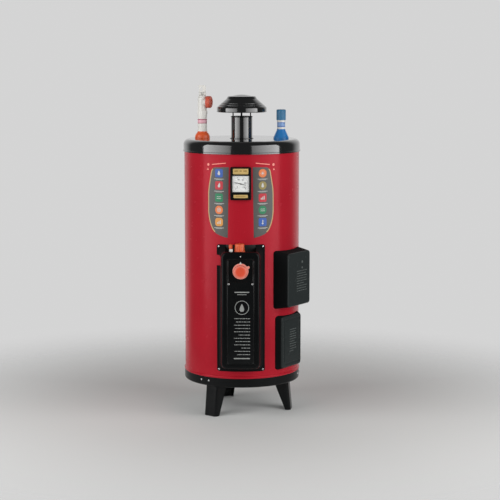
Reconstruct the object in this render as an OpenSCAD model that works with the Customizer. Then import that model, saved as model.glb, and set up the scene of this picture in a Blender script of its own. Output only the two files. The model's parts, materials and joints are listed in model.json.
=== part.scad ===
// Floor-standing gas storage water heater, in millimetres.
// The origin is on the floor under the middle of the tank. +Z is up and the front faces -Y.
// An azimuth is counted from the front towards +X.

/* [Jacket] */
// Outside diameter of the jacket
jacket_d = 450; // [440:2:470]
// Height of the jacket, from the base ring to the seat of the top cover
jacket_h = 888; // [870:2:960]
// Thickness of the jacket sheet
jacket_t = 1; // [0.6:0.1:1.6]
// Radius of the bead rolled at the foot of the jacket
bead_r = 6.5; // [5.5:0.25:8]
// How far that bead stands out of the jacket
bead_out = 3.5; // [2.5:0.25:4.5]
// Thickness of the insulation
wool_t = 28; // [22:1:32]

/* [Base and legs] */
// Height of the base ring's underside above the floor
leg_h = 127; // [100:1:160]
// Height of the base ring
ring_h = 35; // [32:1:50]
// Thickness of the base ring
ring_t = 1.5; // [1:0.1:2]
// Width of the lip turned in at the foot of the base ring
ring_lip = 22; // [16:1:26]
// Width of a leg
leg_w = 62; // [50:1:80]
// Sheet thickness of a leg
leg_t = 2; // [1.5:0.1:3]
// Outside radius of a leg's bends
leg_bend = 12; // [6:1:18]
// Depth of a leg under the base ring
leg_top_depth = 50; // [40:1:60]
// Depth of a leg at the floor
leg_foot_depth = 21; // [16:1:34]
// Radius of a leg's face under the base ring
leg_top_r = 188; // [180:1:196]
// Radius of a leg's face at the floor
leg_foot_r = 200; // [190:1:212]
// Azimuth of the front left leg
leg_azimuth = -38; // [-60:1:-20]

/* [Top cover] */
// How far the top cover comes down over the jacket
lid_drop = 24; // [16:1:40]
// Height of the top cover above the jacket
lid_rise = 24; // [22:1:40]
// Thickness of the top cover
lid_t = 3.2; // [2:0.1:4]
// Radius of the top cover's upper edge
lid_edge = 22; // [14:1:24]
// How far the top cover's lower bead stands out
lid_bead = 1.5; // [0.5:0.25:3]

/* [Tank] */
// Thickness of the tank's wall
tank_t = 2.5; // [1.5:0.1:4]
// Height of the combustion chamber under the tank
chamber_h = 200; // [190:2:215]
// Distance from the rim of the tank's top head up to the seat of the top cover
tank_drop = 50; // [46:1:70]
// Rise of the tank's domed heads
head_rise = 35; // [25:1:38]
// Outside radius of the flue tube
flue_r = 40; // [34:1:48]
// Thickness of the flue tube
flue_t = 2; // [1.5:0.1:3]

/* [Draft hood] */
// Height of the flue collar
collar_h = 87; // [60:1:110]
// Thickness of the collar and the hood
collar_t = 1.2; // [0.8:0.1:2]
// Gap between the collar and the hood's rim
hood_gap = 17; // [10:1:40]
// Radius of the hood's rim
hood_r = 97.5; // [85:0.5:120]
// Height of the hood's rim
hood_rim = 14; // [8:1:20]
// Slope of the hood's cone, in degrees
hood_lean = 41; // [34:1:46]
// Radius of the crown's shoulder
crown_r = 55; // [52:1:58]
// Height of the crown's shoulder above the end of the cone
crown_step = 9; // [8:0.5:12]
// Rise of the crown's domed top
crown_rise = 8; // [4:1:14]
// Width of a hood strut
strut_w = 7; // [5:0.5:10]

/* [Water pipes] */
// Distance between the two water pipes
pipe_gap = 308; // [280:2:320]
// Outside radius of a water pipe
pipe_r = 13.35; // [12:0.05:14]
// Wall of a water pipe
pipe_t = 3.2; // [2.5:0.1:4]
// Height of the hot pipe's bell
hot_bell_h = 28; // [22:1:36]
// Radius of the hot pipe's bell at its foot
hot_bell_r = 29; // [27:0.5:33]
// Outside radius of the hot pipe's sleeve
hot_sleeve_r = 18.2; // [17:0.1:20]
// Length of the hot pipe's sleeve
hot_sleeve_h = 64; // [40:1:80]
// Height of the cold pipe's bell
cold_bell_h = 37; // [28:1:44]
// Radius of the cold pipe's bell at its foot
cold_bell_r = 29.8; // [26:0.2:34]
// Outside radius of the cold pipe's sleeve
cold_sleeve_r = 15.8; // [15.4:0.1:17.5]
// Length of the cold pipe's sleeve
cold_sleeve_h = 35; // [25:1:50]
// Outside radius of the cold pipe's cap
cold_cap_r = 18.3; // [17.5:0.1:20]
// Height of the cold pipe's cap
cold_cap_h = 41; // [32:1:50]

/* [Relief valve] */
// Height of the nut under the relief valve
relief_nut_h = 16; // [12:1:20]
// Outside radius of the relief valve's body
relief_r = 17.5; // [16:0.5:20]
// Height of the relief valve's body
relief_h = 53; // [50:1:60]
// Azimuth that the valve's outlet points to
outlet_azimuth = 72; // [50:1:80]
// Height of the outlet's axis above the nut
outlet_h = 34; // [32:0.5:36]
// Radius of the outlet's cap
outlet_cap_r = 23.3; // [20:0.1:25]
// Depth of the outlet's cap
outlet_cap_h = 16.5; // [15:0.5:20]
// Width of the test lever
lever_w = 26; // [24:0.5:28]
// Height of the test lever above its pin
lever_h = 33; // [30:1:44]
// Thickness of the test lever
lever_t = 3.6; // [3:0.1:5]
// Off-centre of the lever's cam, which lifts the stem
cam_off = 2.6; // [1.5:0.1:3]

/* [Temperature gauge] */
// Width of the gauge's bezel
gauge_w = 80; // [74:1:90]
// Height of the gauge's bezel
gauge_h = 125; // [118:1:140]
// Distance from the gauge's middle up to the seat of the top cover
gauge_drop = 133; // [115:1:160]
// Depth of the bezel in front of the jacket
gauge_depth = 12; // [11:0.5:18]
// Width of the dial
dial_w = 62; // [54:1:66]
// Height of the dial
dial_h = 61; // [54:1:66]
// Length of the needle's pointer
needle_l = 25; // [20:0.5:26]

/* [Front cover] */
// Distance from the jacket's bead up to the front cover
cover_gap = 24; // [20:1:28]
// Depth of the front cover in front of the jacket
cover_depth = 60; // [58:1:70]
// Width of the front cover's face
cover_face_w = 146; // [140:1:156]
// Width of the front cover at the jacket
cover_foot_w = 172; // [166:1:184]
// Height of the front cover at the jacket
cover_foot_h = 480; // [474:2:500]
// Inward slope of the front cover's top and bottom
cover_lean = 15; // [10:1:18]
// Thickness of the front cover
cover_t = 2.5; // [2:0.1:3.2]
// Corner radius of the front cover
cover_corner = 22; // [16:1:26]
// Rounding of the front cover's face edge
cover_edge = 7; // [4:0.5:9]
// Width of the front cover's flange on the jacket
cover_flange = 6; // [4:0.5:8]
// Width of the window in the front cover
window_w = 106; // [100:1:112]
// Width of the frame above and below the window
window_rim = 20.5; // [19:0.5:30]
// Depth of the well around the temperature dial
well_depth = 4; // [2:0.5:5]

/* [Gas control] */
// Distance from the top of the front cover's face down to the temperature dial's axis
control_drop = 73; // [70:1:76]
// Radius of the temperature dial
temp_r = 30; // [26:0.5:32]
// Depth of the temperature dial
temp_h = 24; // [18:1:30]
// Radius of the gas cock's knob
cock_r = 21.5; // [16:0.5:22]
// Height of the gas cock's knob
cock_h = 32; // [26:1:36]
// Height of the gas control's body
valve_h = 100; // [96:1:104]
// Width of the gas control's body
valve_w = 88; // [84:1:92]
// Radius of the gas inlet's threaded hole
inlet_r = 9.3; // [8:0.1:10]
// Depth of the gas inlet's threaded hole
inlet_depth = 16; // [12:1:17]
// Travel of the pilot and igniter buttons
button_travel = 6; // [4:0.5:6.5]

/* [Side covers] */
// Azimuth of the side covers
side_azimuth = 57; // [50:1:64]
// Height of the upper side cover's middle above the floor
upper_z = 541; // [536:1:546]
// Distance from the tank's axis to the upper side cover's face
upper_face = 268; // [262:1:280]
// Width of the upper side cover's face
upper_w = 160; // [150:1:166]
// Height of the upper side cover's face
upper_h = 208; // [200:1:214]
// Height of the lower side cover's middle above the floor
lower_z = 294; // [290:1:298]
// Distance from the tank's axis to the lower side cover's face
lower_face = 234; // [233:1:250]
// Width of the lower side cover's face
lower_w = 141; // [136:1:146]
// Height of the lower side cover's face
lower_h = 204; // [200:1:206]
// Thickness of the side covers
side_t = 2.5; // [2:0.1:3.2]
// Draft of the side covers' walls, per millimetre of depth
side_draft = 0.17; // [0.1:0.01:0.22]
// Draft of the lower side cover's upright walls
lower_lean = 0.6; // [0.4:0.05:0.7]
// Draft of the lower side cover's top and foot
lower_rise = 0.32; // [0.2:0.02:0.4]

/* [Fits] */
// Clearance between nested pieces that don't turn
fit = 0.2; // [0.1:0.05:0.3]
// Clearance between a shaft and its bore
run_fit = 0.05; // [0.02:0.01:0.1]
// Clearance beside a piece that slides or turns in the open
air = 0.5; // [0.3:0.1:0.8]

/* [Hidden] */
$fn = 96;

// Colours as the photograph shows them
red = "#a8202c";
black = "#141517";
orange = "#e4572a";
blue = "#3b86b8";
white = "#eceae4";
steel = "#b9bcc0";
zinc = "#8d9296";
brass = "#b79a55";
wool = "#d8c27a";
enamel = "#3a4f63";
iron = "#4a4b4d";

// Heights above the floor
ring_top = leg_h + ring_h;
seat_z = leg_h + ring_t + leg_t;
jacket_top = ring_top + jacket_h;
lid_top = jacket_top + lid_rise;
tank_top = jacket_top - tank_drop;
tank_low = seat_z + chamber_h;
collar_top = lid_top + collar_h;
hood_z = collar_top + hood_gap;

// Radii about the tank's axis
jacket_r = jacket_d / 2;
jacket_in = jacket_r - jacket_t;
tank_r = jacket_in - wool_t;
tank_in = tank_r - tank_t;
bead_cut = 2;
bead_axis = jacket_r + bead_out - bead_r;
ring_r = bead_axis + sqrt(bead_r * bead_r - (bead_r - bead_cut) * (bead_r - bead_cut)) + 0.3;
ring_corner = 6;
lid_r = jacket_r + fit + lid_t;
collar_r = flue_r + 3 * fit + collar_t;

// Sheet metal screws, and how far a cutter runs past what it cuts
screw_r = 2;
head_r = 4;
head_h = 2.4;
leg_screw_a = 4.6;
cut = 1;

// Water pipes and relief valve
hot_x = -pipe_gap / 2;
cold_x = pipe_gap / 2;
socket_wall = 5;
socket_r = pipe_r + socket_wall;
socket_h = 34;
socket_z = tank_top - 12;
pipe_foot = socket_z + 8;
dip_gap = 90;
dip_t = 1.6;
anode_y = 110;
anode_gap = 2 * dip_gap;
anode_r = 9;
hot_sleeve_z = lid_top + hot_bell_h;
relief_z = hot_sleeve_z + hot_sleeve_h;
body_z = relief_z + relief_nut_h;
body_top = body_z + relief_h;
outlet_z = body_z + outlet_h;
outlet_l = 32;
outlet_step = outlet_l - outlet_cap_h + 4;
cold_sleeve_z = lid_top + cold_bell_h;
cold_cap_z = cold_sleeve_z + cold_sleeve_h;
cold_top = cold_cap_z + cold_cap_h - 4;
bonnet_h = 5;
lip_r = 3.5;
stem_r = 3;
stem_depth = 30;
pin_r = 2;
pin_z = body_top + bonnet_h + 8;
ear_t = 7;
eye_w = lever_w - 2 * ear_t - 2 * air;
eye_r = 5;
cam_r = pin_z - body_top - bonnet_h - air;
lever_round = 9;
loop_w = 7;
loop_x = -lever_w / 2 + 5;
loop_low = eye_r + 2 * air + 4;
loop_high = lever_h - 8;
bonnet_r = lever_w / 2 + 2.5;
lever_x = hot_x + 1;

// Temperature gauge
gauge_z = jacket_top - gauge_drop;
gauge_front = jacket_r + gauge_depth;
glass_t = 1.5;
glass_lip = 2;
glass_y = gauge_front - 2.5;
dial_t = 0.8;
dial_y = gauge_front - 6.5;
dial_z = gauge_z - 1.5;
stem_gauge_r = 5;
pivot_r = 0.8;
needle_t = 0.8;
needle_y = dial_y + dial_t + 0.8;
needle_rest = 75;
needle_tail = 20;

// Front cover and gas control
bead_top = ring_top + 2 * bead_r - bead_cut;
cover_low = bead_top + cover_gap;
cover_z = cover_low + cover_foot_h / 2;
cover_face = jacket_r + cover_depth;
cover_face_h = cover_foot_h - 2 * cover_lean;
window_h = cover_face_h - 2 * window_rim;
cover_back = jacket_r - 35;
cover_draft = (cover_foot_w - cover_face_w) / 2
    / (cover_face - sqrt(pow(jacket_r, 2) - pow(cover_foot_w / 2, 2)));
cover_rise = 2 * cover_lean / (cover_foot_w - cover_face_w) * cover_draft;
cover_top = cover_z + cover_face_h / 2;
control_z = cover_top - control_drop;
window_z = cover_top - window_rim - 3.5 - window_h / 2;
flange_t = 2;
screw_x = cover_foot_w / 2 - 3;
screw_dz = cover_foot_h / 2 - 1.5;
screw_a = asin(screw_x / jacket_r);
panel_t = 2.5;
panel_lap = 5;
panel_front = cover_face - cover_t;
panel_back = panel_front - panel_t;
well_w = 92;
well_h = 86;
well_floor = panel_front - well_depth;
panel_screw_x = 45;
panel_screw_z = control_z - 49;
valve_z = control_z + 9;
valve_back = jacket_r + 7;
valve_front = well_floor - panel_t - 10;
valve_top = valve_z + valve_h / 2;
valve_low = valve_z - valve_h / 2;
shank_r = 14;
probe_r = 5.5;
probe_l = 130;
spud_r = 20;
boss_r = 11;
spindle_r = 4;
valve_disc_r = 32;
valve_disc_t = 4;
nut_r = 10;
nut_h = 6;
post_r = 5;
post_block = [12, 10, 22];
dial_gap = 0.8;
tab_r = 5;
tab_out = 3;
tab_azimuth = 27;
cock_x = -4;
cock_y = jacket_r + 25;
cock_boss = 9;
cock_boss_r = 15;
pilot_x = -38;
pilot_y = jacket_r + 18;
plunger_r = 6;
guide_wall = 1.5;
pilot_head_r = 7;
pilot_guide = 18;
igniter_x = -36;
igniter_y = valve_front - 1;
igniter_r = 8;
igniter_flange = 3;
igniter_low = valve_top - 52;
igniter_top = valve_top + 8;
igniter_ring_h = 8;
igniter_head_r = 6.5;
inlet_y = jacket_r + 18;
inlet_z = valve_z + 24;
inlet_boss = 14;
inlet_wall = 5.5;
inlet_x = -valve_w / 2 - inlet_boss;
tube_y = jacket_r + 25;

// Flue and draft hood
strut_r = collar_r - collar_t - fit;
strut_t = 1.5;
strut_lap = 40;
hood_edge = 8;
nook_r = 5;
rim_mid = [hood_r - hood_edge, hood_rim];
cone_out = [sin(hood_lean), cos(hood_lean)];
cone_low = rim_mid + hood_edge * cone_out;
cone_top = [crown_r + 5, cone_low[1] + (cone_low[0] - crown_r - 5) * tan(hood_lean)];
crown_h = cone_top[1] + crown_step;
crown_mid = [crown_r - 6, crown_h - 6];
dome_r = crown_r - 8;
crown_end = crown_mid + (hood_edge - collar_t) * [cos(70), sin(70)];
crown_next = [dome_r * 0.8, crown_h + crown_rise * (1 - 0.64) - collar_t];
strut_top = crown_end[1] + (crown_next[1] - crown_end[1]) * (crown_end[0] - strut_r)
    / (crown_end[0] - crown_next[0]) - fit / 2;
flue_out = 3;
baffle_w = 44;
baffle_folds = 11;
baffle_step = 45;

// Combustion chamber and tank openings
floor_t = 1.5;
floor_z = seat_z + floor_t;
door_w = 144;
door_h = 118;
door_gap = 10.5;
door_z = cover_low + door_gap + door_h / 2;
door_t = 1.2;
door_lap = 13;
hatch_w = door_w - 2 * door_lap;
hatch_h = door_h - 2 * door_lap;
burner_z = door_z - 14;
burner_r = 75;
burner_h = 20;
port_r = 2;
mixer_r = 13;
mixer_l = 2 * burner_r;
tube_r = 6;
pilot_tube_r = 2.5;
couple_r = 1.8;
pilot_tube_x = 28;
couple_x = 37;
pilot_y0 = burner_r + mixer_r;
pilot_l = 12;
pilot_r = 6;
pilot_z = burner_z - pilot_r;
hand_r = 50;
hand_flange_r = 62;
hand_flange_t = 6;
gasket_t = 3;
hand_face = jacket_r - 3;
hand_bolts = 6;
hand_bolt_r = 4;
hand_pcd = 56;
drain_r = 10.5;
drain_wall = 5;
head_rim = 14;
drain_z = tank_low + head_rim + drain_r + 2 * drain_wall;
drain_face = jacket_r - 9;

// Points of an arc from angle a to angle b
function arc(c, r, a, b, n = 8) =
    [for (i = [0:n]) c + r * [cos(a + (b - a) * i / n), sin(a + (b - a) * i / n)]];
function rev(v) = [for (i = [len(v) - 1:-1:0]) v[i]];

// A rectangle with true round corners
module rounded(w, h, r) {
    square([w - 2 * r, h], center = true);
    square([w, h - 2 * r], center = true);
    for (x = [-1, 1], y = [-1, 1])
        translate([x * (w / 2 - r), y * (h / 2 - r)]) circle(r);
}

// Turns what is built at the front to another azimuth
module facing(a) {
    rotate([0, 0, a]) children();
}

// Extrudes an outline, drawn in X and Z, outwards from y to y + depth before the tank's axis
module plate(y, depth) {
    translate([0, -y, 0]) rotate([90, 0, 0]) linear_extrude(depth) children();
}

// A round bar that points to the front, from y to y + l before the tank's axis
module bar(y, l, r, x = 0, z = 0) {
    translate([x, -y, z]) rotate([90, 0, 0]) cylinder(h = l, r = r);
}

module ring(r, t, h) {
    difference() {
        cylinder(h = h, r = r);
        translate([0, 0, -cut]) cylinder(h = h + 2 * cut, r = r - t);
    }
}

// A box with drafted walls and a rounded face edge, from y0 to its face at y1
module drafted(y0, y1, w, h, draft_w, draft_h, corner, edge) {
    grow = y1 - edge - y0;
    hull() {
        slice(y0, w + 2 * grow * draft_w, h + 2 * grow * draft_h, corner);
        for (a = [0:30:90])
            slice(y1 - edge + edge * sin(a), w - 2 * edge * (1 - cos(a)), h - 2 * edge * (1 - cos(a)),
                corner - edge * (1 - cos(a)));
    }
}

module slice(y, w, h, r) {
    plate(y - 0.01, 0.01) rounded(w, h, r, $fn = 32);
}

// Pan-headed screw that points inwards, with its head on the face at y
module screw(y, l, r, head_r, head_h) {
    bar(y - l, l + head_h / 2, r);
    translate([0, -y, 0]) rotate([90, 0, 0]) rotate_extrude()
        polygon(concat([[0, 0]], [[head_r, 0]],
            arc([head_r - head_h * 0.7, head_h * 0.3], head_h * 0.7, 0, 90, 5),
            [[0, head_h]]));
}

// A bent tube that comes straight down and then turns in towards the tank's axis
module down_and_in(x, y, z_top, z_low, y_end, r, bend) {
    translate([x, -y, z_low + bend]) cylinder(h = z_top - z_low - bend, r = r);
    translate([x, -y + bend, z_low + bend]) rotate([-90, 0, -90])
        rotate_extrude(angle = 90) translate([bend, 0]) circle(r);
    bar(y_end, y - bend - y_end, r, x, z_low);
}

// Cross-section of a leg, with its outer face on the X axis
module leg_outline(w, d, r) {
    translate([-w / 2, r]) square([w, d - r]);
    translate([-w / 2 + r, 0]) square([w - 2 * r, r]);
    for (x = [-1, 1])
        translate([x * (w / 2 - r), r]) circle(r);
}

module leg() {
    splay = atan((leg_foot_r - leg_top_r) / leg_h);
    depth = leg_top_depth + leg_foot_r;
    intersection() {
        translate([0, -leg_foot_r, 0]) rotate([-splay, 0, 0]) translate([0, 0, -leg_h])
            linear_extrude(3 * leg_h) difference() {
                leg_outline(leg_w, depth, leg_bend);
                translate([0, leg_t]) leg_outline(leg_w - 2 * leg_t, depth, leg_bend - leg_t);
            }
        translate([-leg_w, 0, 0]) rotate([90, 0, 90]) linear_extrude(2 * leg_w)
            polygon([[-leg_foot_r - cut, 0], [-leg_foot_r + leg_foot_depth, 0],
                [-leg_top_r + leg_top_depth, leg_h * 0.8], [-leg_top_r + leg_top_depth, seat_z - leg_t / 2],
                [-leg_foot_r - cut, seat_z - leg_t / 2]]);
    }
    difference() {
        intersection() {
            rotate_extrude() translate([ring_r - ring_corner, seat_z - leg_t]) leg_seat_outline();
            translate([-leg_w / 2, -ring_r, leg_h])
                cube([leg_w, ring_r - leg_top_r + leg_top_depth, ring_h]);
        }
        leg_screw_places() bar(0, ring_r + cut, screw_r + fit);
    }
}

// Section of a leg's seat on the base ring's lip, with the tab that bends up behind the ring
module leg_seat_outline() {
    bend = ring_corner - ring_t - fit;
    translate([-ring_r / 2, 0]) square([ring_r / 2, leg_t]);
    translate([bend - leg_t, bend]) square([leg_t, ring_h * 0.7 - bend]);
    intersection() {
        translate([0, bend]) difference() {
            circle(bend);
            circle(bend - leg_t);
        }
        square(bend);
    }
}

module leg_screw_places() {
    for (s = [-1, 1])
        translate([0, 0, leg_h + ring_h * 0.6]) facing(s * leg_screw_a) children();
}

module leg_front_left() color(black) facing(leg_azimuth) leg();

module leg_right() color(black) facing(leg_azimuth + 120) leg();

module leg_rear() color(black) facing(leg_azimuth + 240) leg();

module leg_screws() color(steel)
    for (i = [0:2])
        facing(leg_azimuth + 120 * i) leg_screw_places()
            screw(ring_r, ring_t + leg_t + 1.5, screw_r, head_r, head_h);

module base_ring() color(black) difference() {
    rotate_extrude() {
        translate([ring_r - ring_t, leg_h + ring_corner]) square([ring_t, ring_h - ring_corner]);
        translate([ring_r - ring_lip, leg_h]) square([ring_lip - ring_corner, ring_t]);
        intersection() {
            translate([ring_r - ring_corner, leg_h + ring_corner]) difference() {
                circle(ring_corner);
                circle(ring_corner - ring_t);
            }
            translate([ring_r - ring_corner, leg_h]) square(ring_corner);
        }
    }
    for (i = [0:2])
        facing(leg_azimuth + 120 * i) leg_screw_places() bar(0, ring_r + cut, screw_r + fit);
}

module jacket_outline(r, bead) {
    translate([0, ring_top]) square([r, jacket_h]);
    intersection() {
        translate([bead_axis, ring_top + bead_r - bead_cut]) circle(bead);
        translate([0, ring_top]) square([2 * jacket_r, jacket_h]);
    }
}

module jacket() color(red) difference() {
    rotate_extrude() difference() {
        jacket_outline(jacket_r, bead_r);
        translate([0, -cut]) square([jacket_in, ring_top + jacket_h + 2 * cut]);
        jacket_outline(jacket_in, bead_r - jacket_t);
    }
    control_hole(spud_r + 6);
    hatch();
    gauge_hole();
    facing(side_azimuth) bar(0, 2 * jacket_r, hand_flange_r + 4, 0, upper_z);
    facing(side_azimuth) bar(0, 2 * jacket_r, drain_r + 9, 0, drain_z);
    cover_screw_places() bar(0, jacket_r + cut, screw_r + fit);
}

module control_hole(r) {
    bar(0, 2 * jacket_r, r, 0, control_z);
}

module gauge_hole() {
    bar(0, 2 * jacket_r, stem_gauge_r + fit, 0, dial_z);
}

module hatch() {
    translate([0, 0, door_z]) plate(0, 2 * jacket_r) rounded(hatch_w, hatch_h, door_lap / 2);
}

module top_cover() color(black) difference() {
    rotate_extrude() {
        translate([flue_r + fit, lid_top - lid_t]) square([lid_r - lid_edge - flue_r - fit, lid_t]);
        intersection() {
            translate([lid_r - lid_edge, lid_top - lid_edge]) difference() {
                circle(lid_edge);
                circle(lid_edge - lid_t);
            }
            translate([lid_r - lid_edge, lid_top - lid_edge]) square(lid_edge);
        }
        translate([lid_r - lid_t, jacket_top - lid_drop])
            square([lid_t, lid_top - lid_edge - jacket_top + lid_drop]);
        translate([lid_r - cut, jacket_top - lid_drop]) square([lid_bead + cut, 4]);
        intersection() {
            translate([lid_r - cut, jacket_top - lid_drop + 4]) circle(lid_bead + cut);
            translate([lid_r - cut, jacket_top - lid_drop + 4]) square(lid_bead + cut);
        }
        translate([jacket_in - 2, jacket_top]) square([lid_r - lid_t - jacket_in + 3, 2]);
    }
    for (x = [hot_x, cold_x])
        translate([x, 0, lid_top - 2 * lid_edge]) cylinder(h = 3 * lid_edge, r = pipe_r + fit);
}

module insulation() color(wool) difference() {
    translate([0, 0, tank_low]) ring(jacket_in - fit, wool_t - 2 * fit, jacket_top - tank_low - fit);
    control_hole(spud_r + 4);
    gauge_hole();
    facing(side_azimuth) bar(0, 2 * jacket_r, hand_flange_r + 4, 0, upper_z);
    facing(side_azimuth) bar(0, 2 * jacket_r, drain_r + 9, 0, drain_z);
}

// Half section of a domed head with a turned-down rim, under a crown at height z
module head_outline(z) {
    outer = tank_in - fit;
    ball = (outer * outer + head_rise * head_rise) / (2 * head_rise);
    intersection() {
        translate([0, z - ball]) difference() {
            circle(ball, $fn = 200);
            circle(ball - tank_t, $fn = 200);
        }
        translate([0, z - head_rise]) square([outer - tank_t / 2, head_rise + cut]);
    }
    translate([outer - tank_t, z - head_rise - head_rim]) square([tank_t, head_rim]);
}

module tank_shell() color(enamel) difference() {
    translate([0, 0, seat_z]) ring(tank_r, tank_t, tank_top - seat_z);
    control_hole(spud_r + fit);
    gauge_hole();
    hatch();
    facing(side_azimuth) bar(0, 2 * jacket_r, hand_r + fit, 0, upper_z);
    facing(side_azimuth) bar(0, 2 * jacket_r, drain_r + drain_wall + fit, 0, drain_z);
}

module tank_top_head() color(enamel) difference() {
    rotate_extrude() head_outline(tank_top + head_rise - 10);
    translate([0, 0, tank_low]) cylinder(h = jacket_h, r = flue_r + fit);
    for (p = [[hot_x, 0], [cold_x, 0], [0, anode_y]])
        translate([p[0], p[1], socket_z]) cylinder(h = jacket_h, r = socket_r + fit);
}

module tank_bottom_head() color(enamel) difference() {
    rotate_extrude() head_outline(tank_low + head_rise + head_rim);
    translate([0, 0, seat_z]) cylinder(h = jacket_h, r = flue_r + fit);
}

// Couplings and necks that are welded into the tank
module tank_sockets() color(zinc) {
    for (p = [[hot_x, 0], [cold_x, 0], [0, anode_y]])
        translate([p[0], p[1], socket_z]) ring(socket_r, socket_wall - fit, socket_h);
    difference() {
        bar(tank_in - 4, 22, spud_r, 0, control_z);
        bar(0, jacket_r, shank_r + fit, 0, control_z);
    }
    facing(side_azimuth) difference() {
        union() {
            bar(tank_in - 12, hand_face - tank_in + 12, hand_r, 0, upper_z);
            bar(hand_face - hand_flange_t, hand_flange_t, hand_flange_r, 0, upper_z);
        }
        bar(0, jacket_r, hand_r - 5, 0, upper_z);
        hand_bolt_places() bar(0, jacket_r, hand_bolt_r + fit);
    }
    facing(side_azimuth) difference() {
        bar(tank_in - 6, drain_face - tank_in + 6, drain_r + drain_wall, 0, drain_z);
        bar(0, jacket_r, drain_r, 0, drain_z);
    }
}

module hand_bolt_places() {
    for (i = [0:hand_bolts - 1])
        translate([hand_pcd * cos(360 / hand_bolts * i), 0,
            upper_z + hand_pcd * sin(360 / hand_bolts * i)]) children();
}

module hand_hole_gasket() color("#2c2b2a") facing(side_azimuth) difference() {
    bar(hand_face, gasket_t, hand_flange_r, 0, upper_z);
    bar(0, 2 * jacket_r, hand_r - 5, 0, upper_z);
    hand_bolt_places() bar(0, 2 * jacket_r, hand_bolt_r + fit);
}

module hand_hole_plate() color(zinc) facing(side_azimuth) difference() {
    bar(hand_face + gasket_t, hand_flange_t, hand_flange_r, 0, upper_z);
    hand_bolt_places() bar(0, 2 * jacket_r, hand_bolt_r + fit);
}

module hand_hole_bolts() color(steel) facing(side_azimuth) hand_bolt_places() {
    top = hand_face + gasket_t + hand_flange_t;
    bar(hand_face - hand_flange_t - 8, 2 * hand_flange_t + gasket_t + 8, hand_bolt_r);
    translate([0, -top, 0]) rotate([90, 0, 0]) cylinder(h = 5, r = 7, $fn = 6);
}

module drain_plug() color(brass) facing(side_azimuth) {
    bar(tank_in, drain_face - tank_in, drain_r - fit, 0, drain_z);
    translate([0, -drain_face, drain_z]) rotate([90, 0, 0]) cylinder(h = 8, r = 16, $fn = 6);
}

module flue_tube() color(zinc)
    translate([0, 0, tank_low + 20]) ring(flue_r, flue_t, lid_top + flue_out - tank_low - 20);

// Folded strip that hangs by a crossbar from the rim of the flue
module flue_baffle() color(zinc) {
    sway = flue_r * 0.45;
    t = 2;
    top = lid_top + flue_out;
    zigzag = [for (i = [0:baffle_folds]) [i == 0 ? 0 : sway * (i % 2 * 2 - 1), top + t - i * baffle_step]];
    translate([0, baffle_w / 2, 0]) rotate([90, 0, 0]) linear_extrude(baffle_w)
        polygon(concat([for (p = zigzag) p + [t / 2, 0]], [for (p = rev(zigzag)) p - [t / 2, 0]]));
    translate([-t / 2, -flue_r + flue_t / 4, top]) cube([t, 2 * flue_r - flue_t / 2, 4 * t]);
}

module chamber_floor() color(zinc) translate([0, 0, seat_z]) difference() {
    cylinder(h = floor_t, r = tank_in - fit);
    for (i = [0:11])
        rotate(30 * i) translate([tank_in * 0.62, 0, -cut])
            cylinder(h = floor_t + 2 * cut, r = tank_in / 12);
    translate([0, 0, -cut]) cylinder(h = floor_t + 2 * cut, r = burner_r * 0.4);
}

// Ring burner with ports round its rim, a mixing tube to the front and three feet
module main_burner() color(iron) {
    difference() {
        union() {
            translate([0, 0, burner_z - burner_h / 2]) rotate_extrude()
                polygon([[0, 0], [burner_r * 0.84, 0], [burner_r, burner_h * 0.4],
                    [burner_r, burner_h * 0.8], [burner_r * 0.87, burner_h],
                    [burner_r * 0.7, burner_h], [burner_r * 0.32, burner_h * 0.6],
                    [0, burner_h * 0.6]]);
            bar(burner_r * 0.87, mixer_l - burner_r * 0.87, mixer_r, 0, burner_z);
        }
        bar(burner_r, mixer_l, mixer_r * 0.77, 0, burner_z);
        for (i = [0:23])
            translate([0, 0, burner_z + port_r]) rotate(15 * i) rotate([90, 0, 0])
                translate([0, 0, burner_r * 0.92]) cylinder(h = burner_r, r = port_r);
    }
    for (i = [0:2])
        rotate(120 * i + 90) translate([burner_r * 0.6, 0, floor_z])
            cylinder(h = burner_z - burner_h / 2 - floor_z + cut, r = burner_r * 0.08);
}

module burner_gas_tube() color(steel)
    down_and_in(0, tube_y, valve_low - nut_h * 0.3, burner_z, mixer_l - mixer_r, tube_r, 4 * tube_r);

module pilot_tube() color(steel)
    down_and_in(pilot_tube_x, tube_y - pilot_r, valve_low, pilot_z, pilot_y0 + pilot_l, pilot_tube_r, 14);

module thermocouple() color(brass)
    down_and_in(couple_x, tube_y - pilot_r, valve_low, pilot_z, pilot_y0 - pilot_r, couple_r, 14);

// Pilot head on a bracket that stands on the chamber floor
module pilot_burner() color(brass) difference() {
    union() {
        bar(pilot_y0, pilot_l, pilot_r, pilot_tube_x, pilot_z);
        translate([pilot_tube_x, -pilot_y0 - pilot_l / 2, pilot_z])
            cylinder(h = 3.6 * pilot_r, r = pilot_r * 0.85);
        translate([pilot_tube_x - pilot_l / 2, -pilot_y0 - pilot_l * 0.7, floor_z])
            cube([pilot_l, pilot_l * 0.4, pilot_z - floor_z]);
    }
    translate([pilot_tube_x, -pilot_y0 - pilot_l / 2, pilot_z + 1.4 * pilot_r])
        cylinder(h = 3.6 * pilot_r, r = pilot_r * 0.57);
}

module burner_door() color(black) difference() {
    intersection() {
        translate([0, 0, door_z - door_h / 2]) ring(jacket_r + fit + door_t, door_t, door_h);
        translate([0, 0, door_z]) plate(0, 2 * jacket_r) rounded(door_w, door_h, door_lap);
    }
    bar(0, 2 * jacket_r, tube_r + 2 * air, 0, burner_z);
    bar(0, 2 * jacket_r, pilot_tube_r + 2 * air, pilot_tube_x, pilot_z);
    bar(0, 2 * jacket_r, couple_r + 2 * air, couple_x, pilot_z);
}

module water_pipe(x, top) {
    translate([x, 0, pipe_foot]) ring(pipe_r, pipe_t, top - pipe_foot);
}

module hot_pipe() color(steel) water_pipe(hot_x, body_z);

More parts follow.
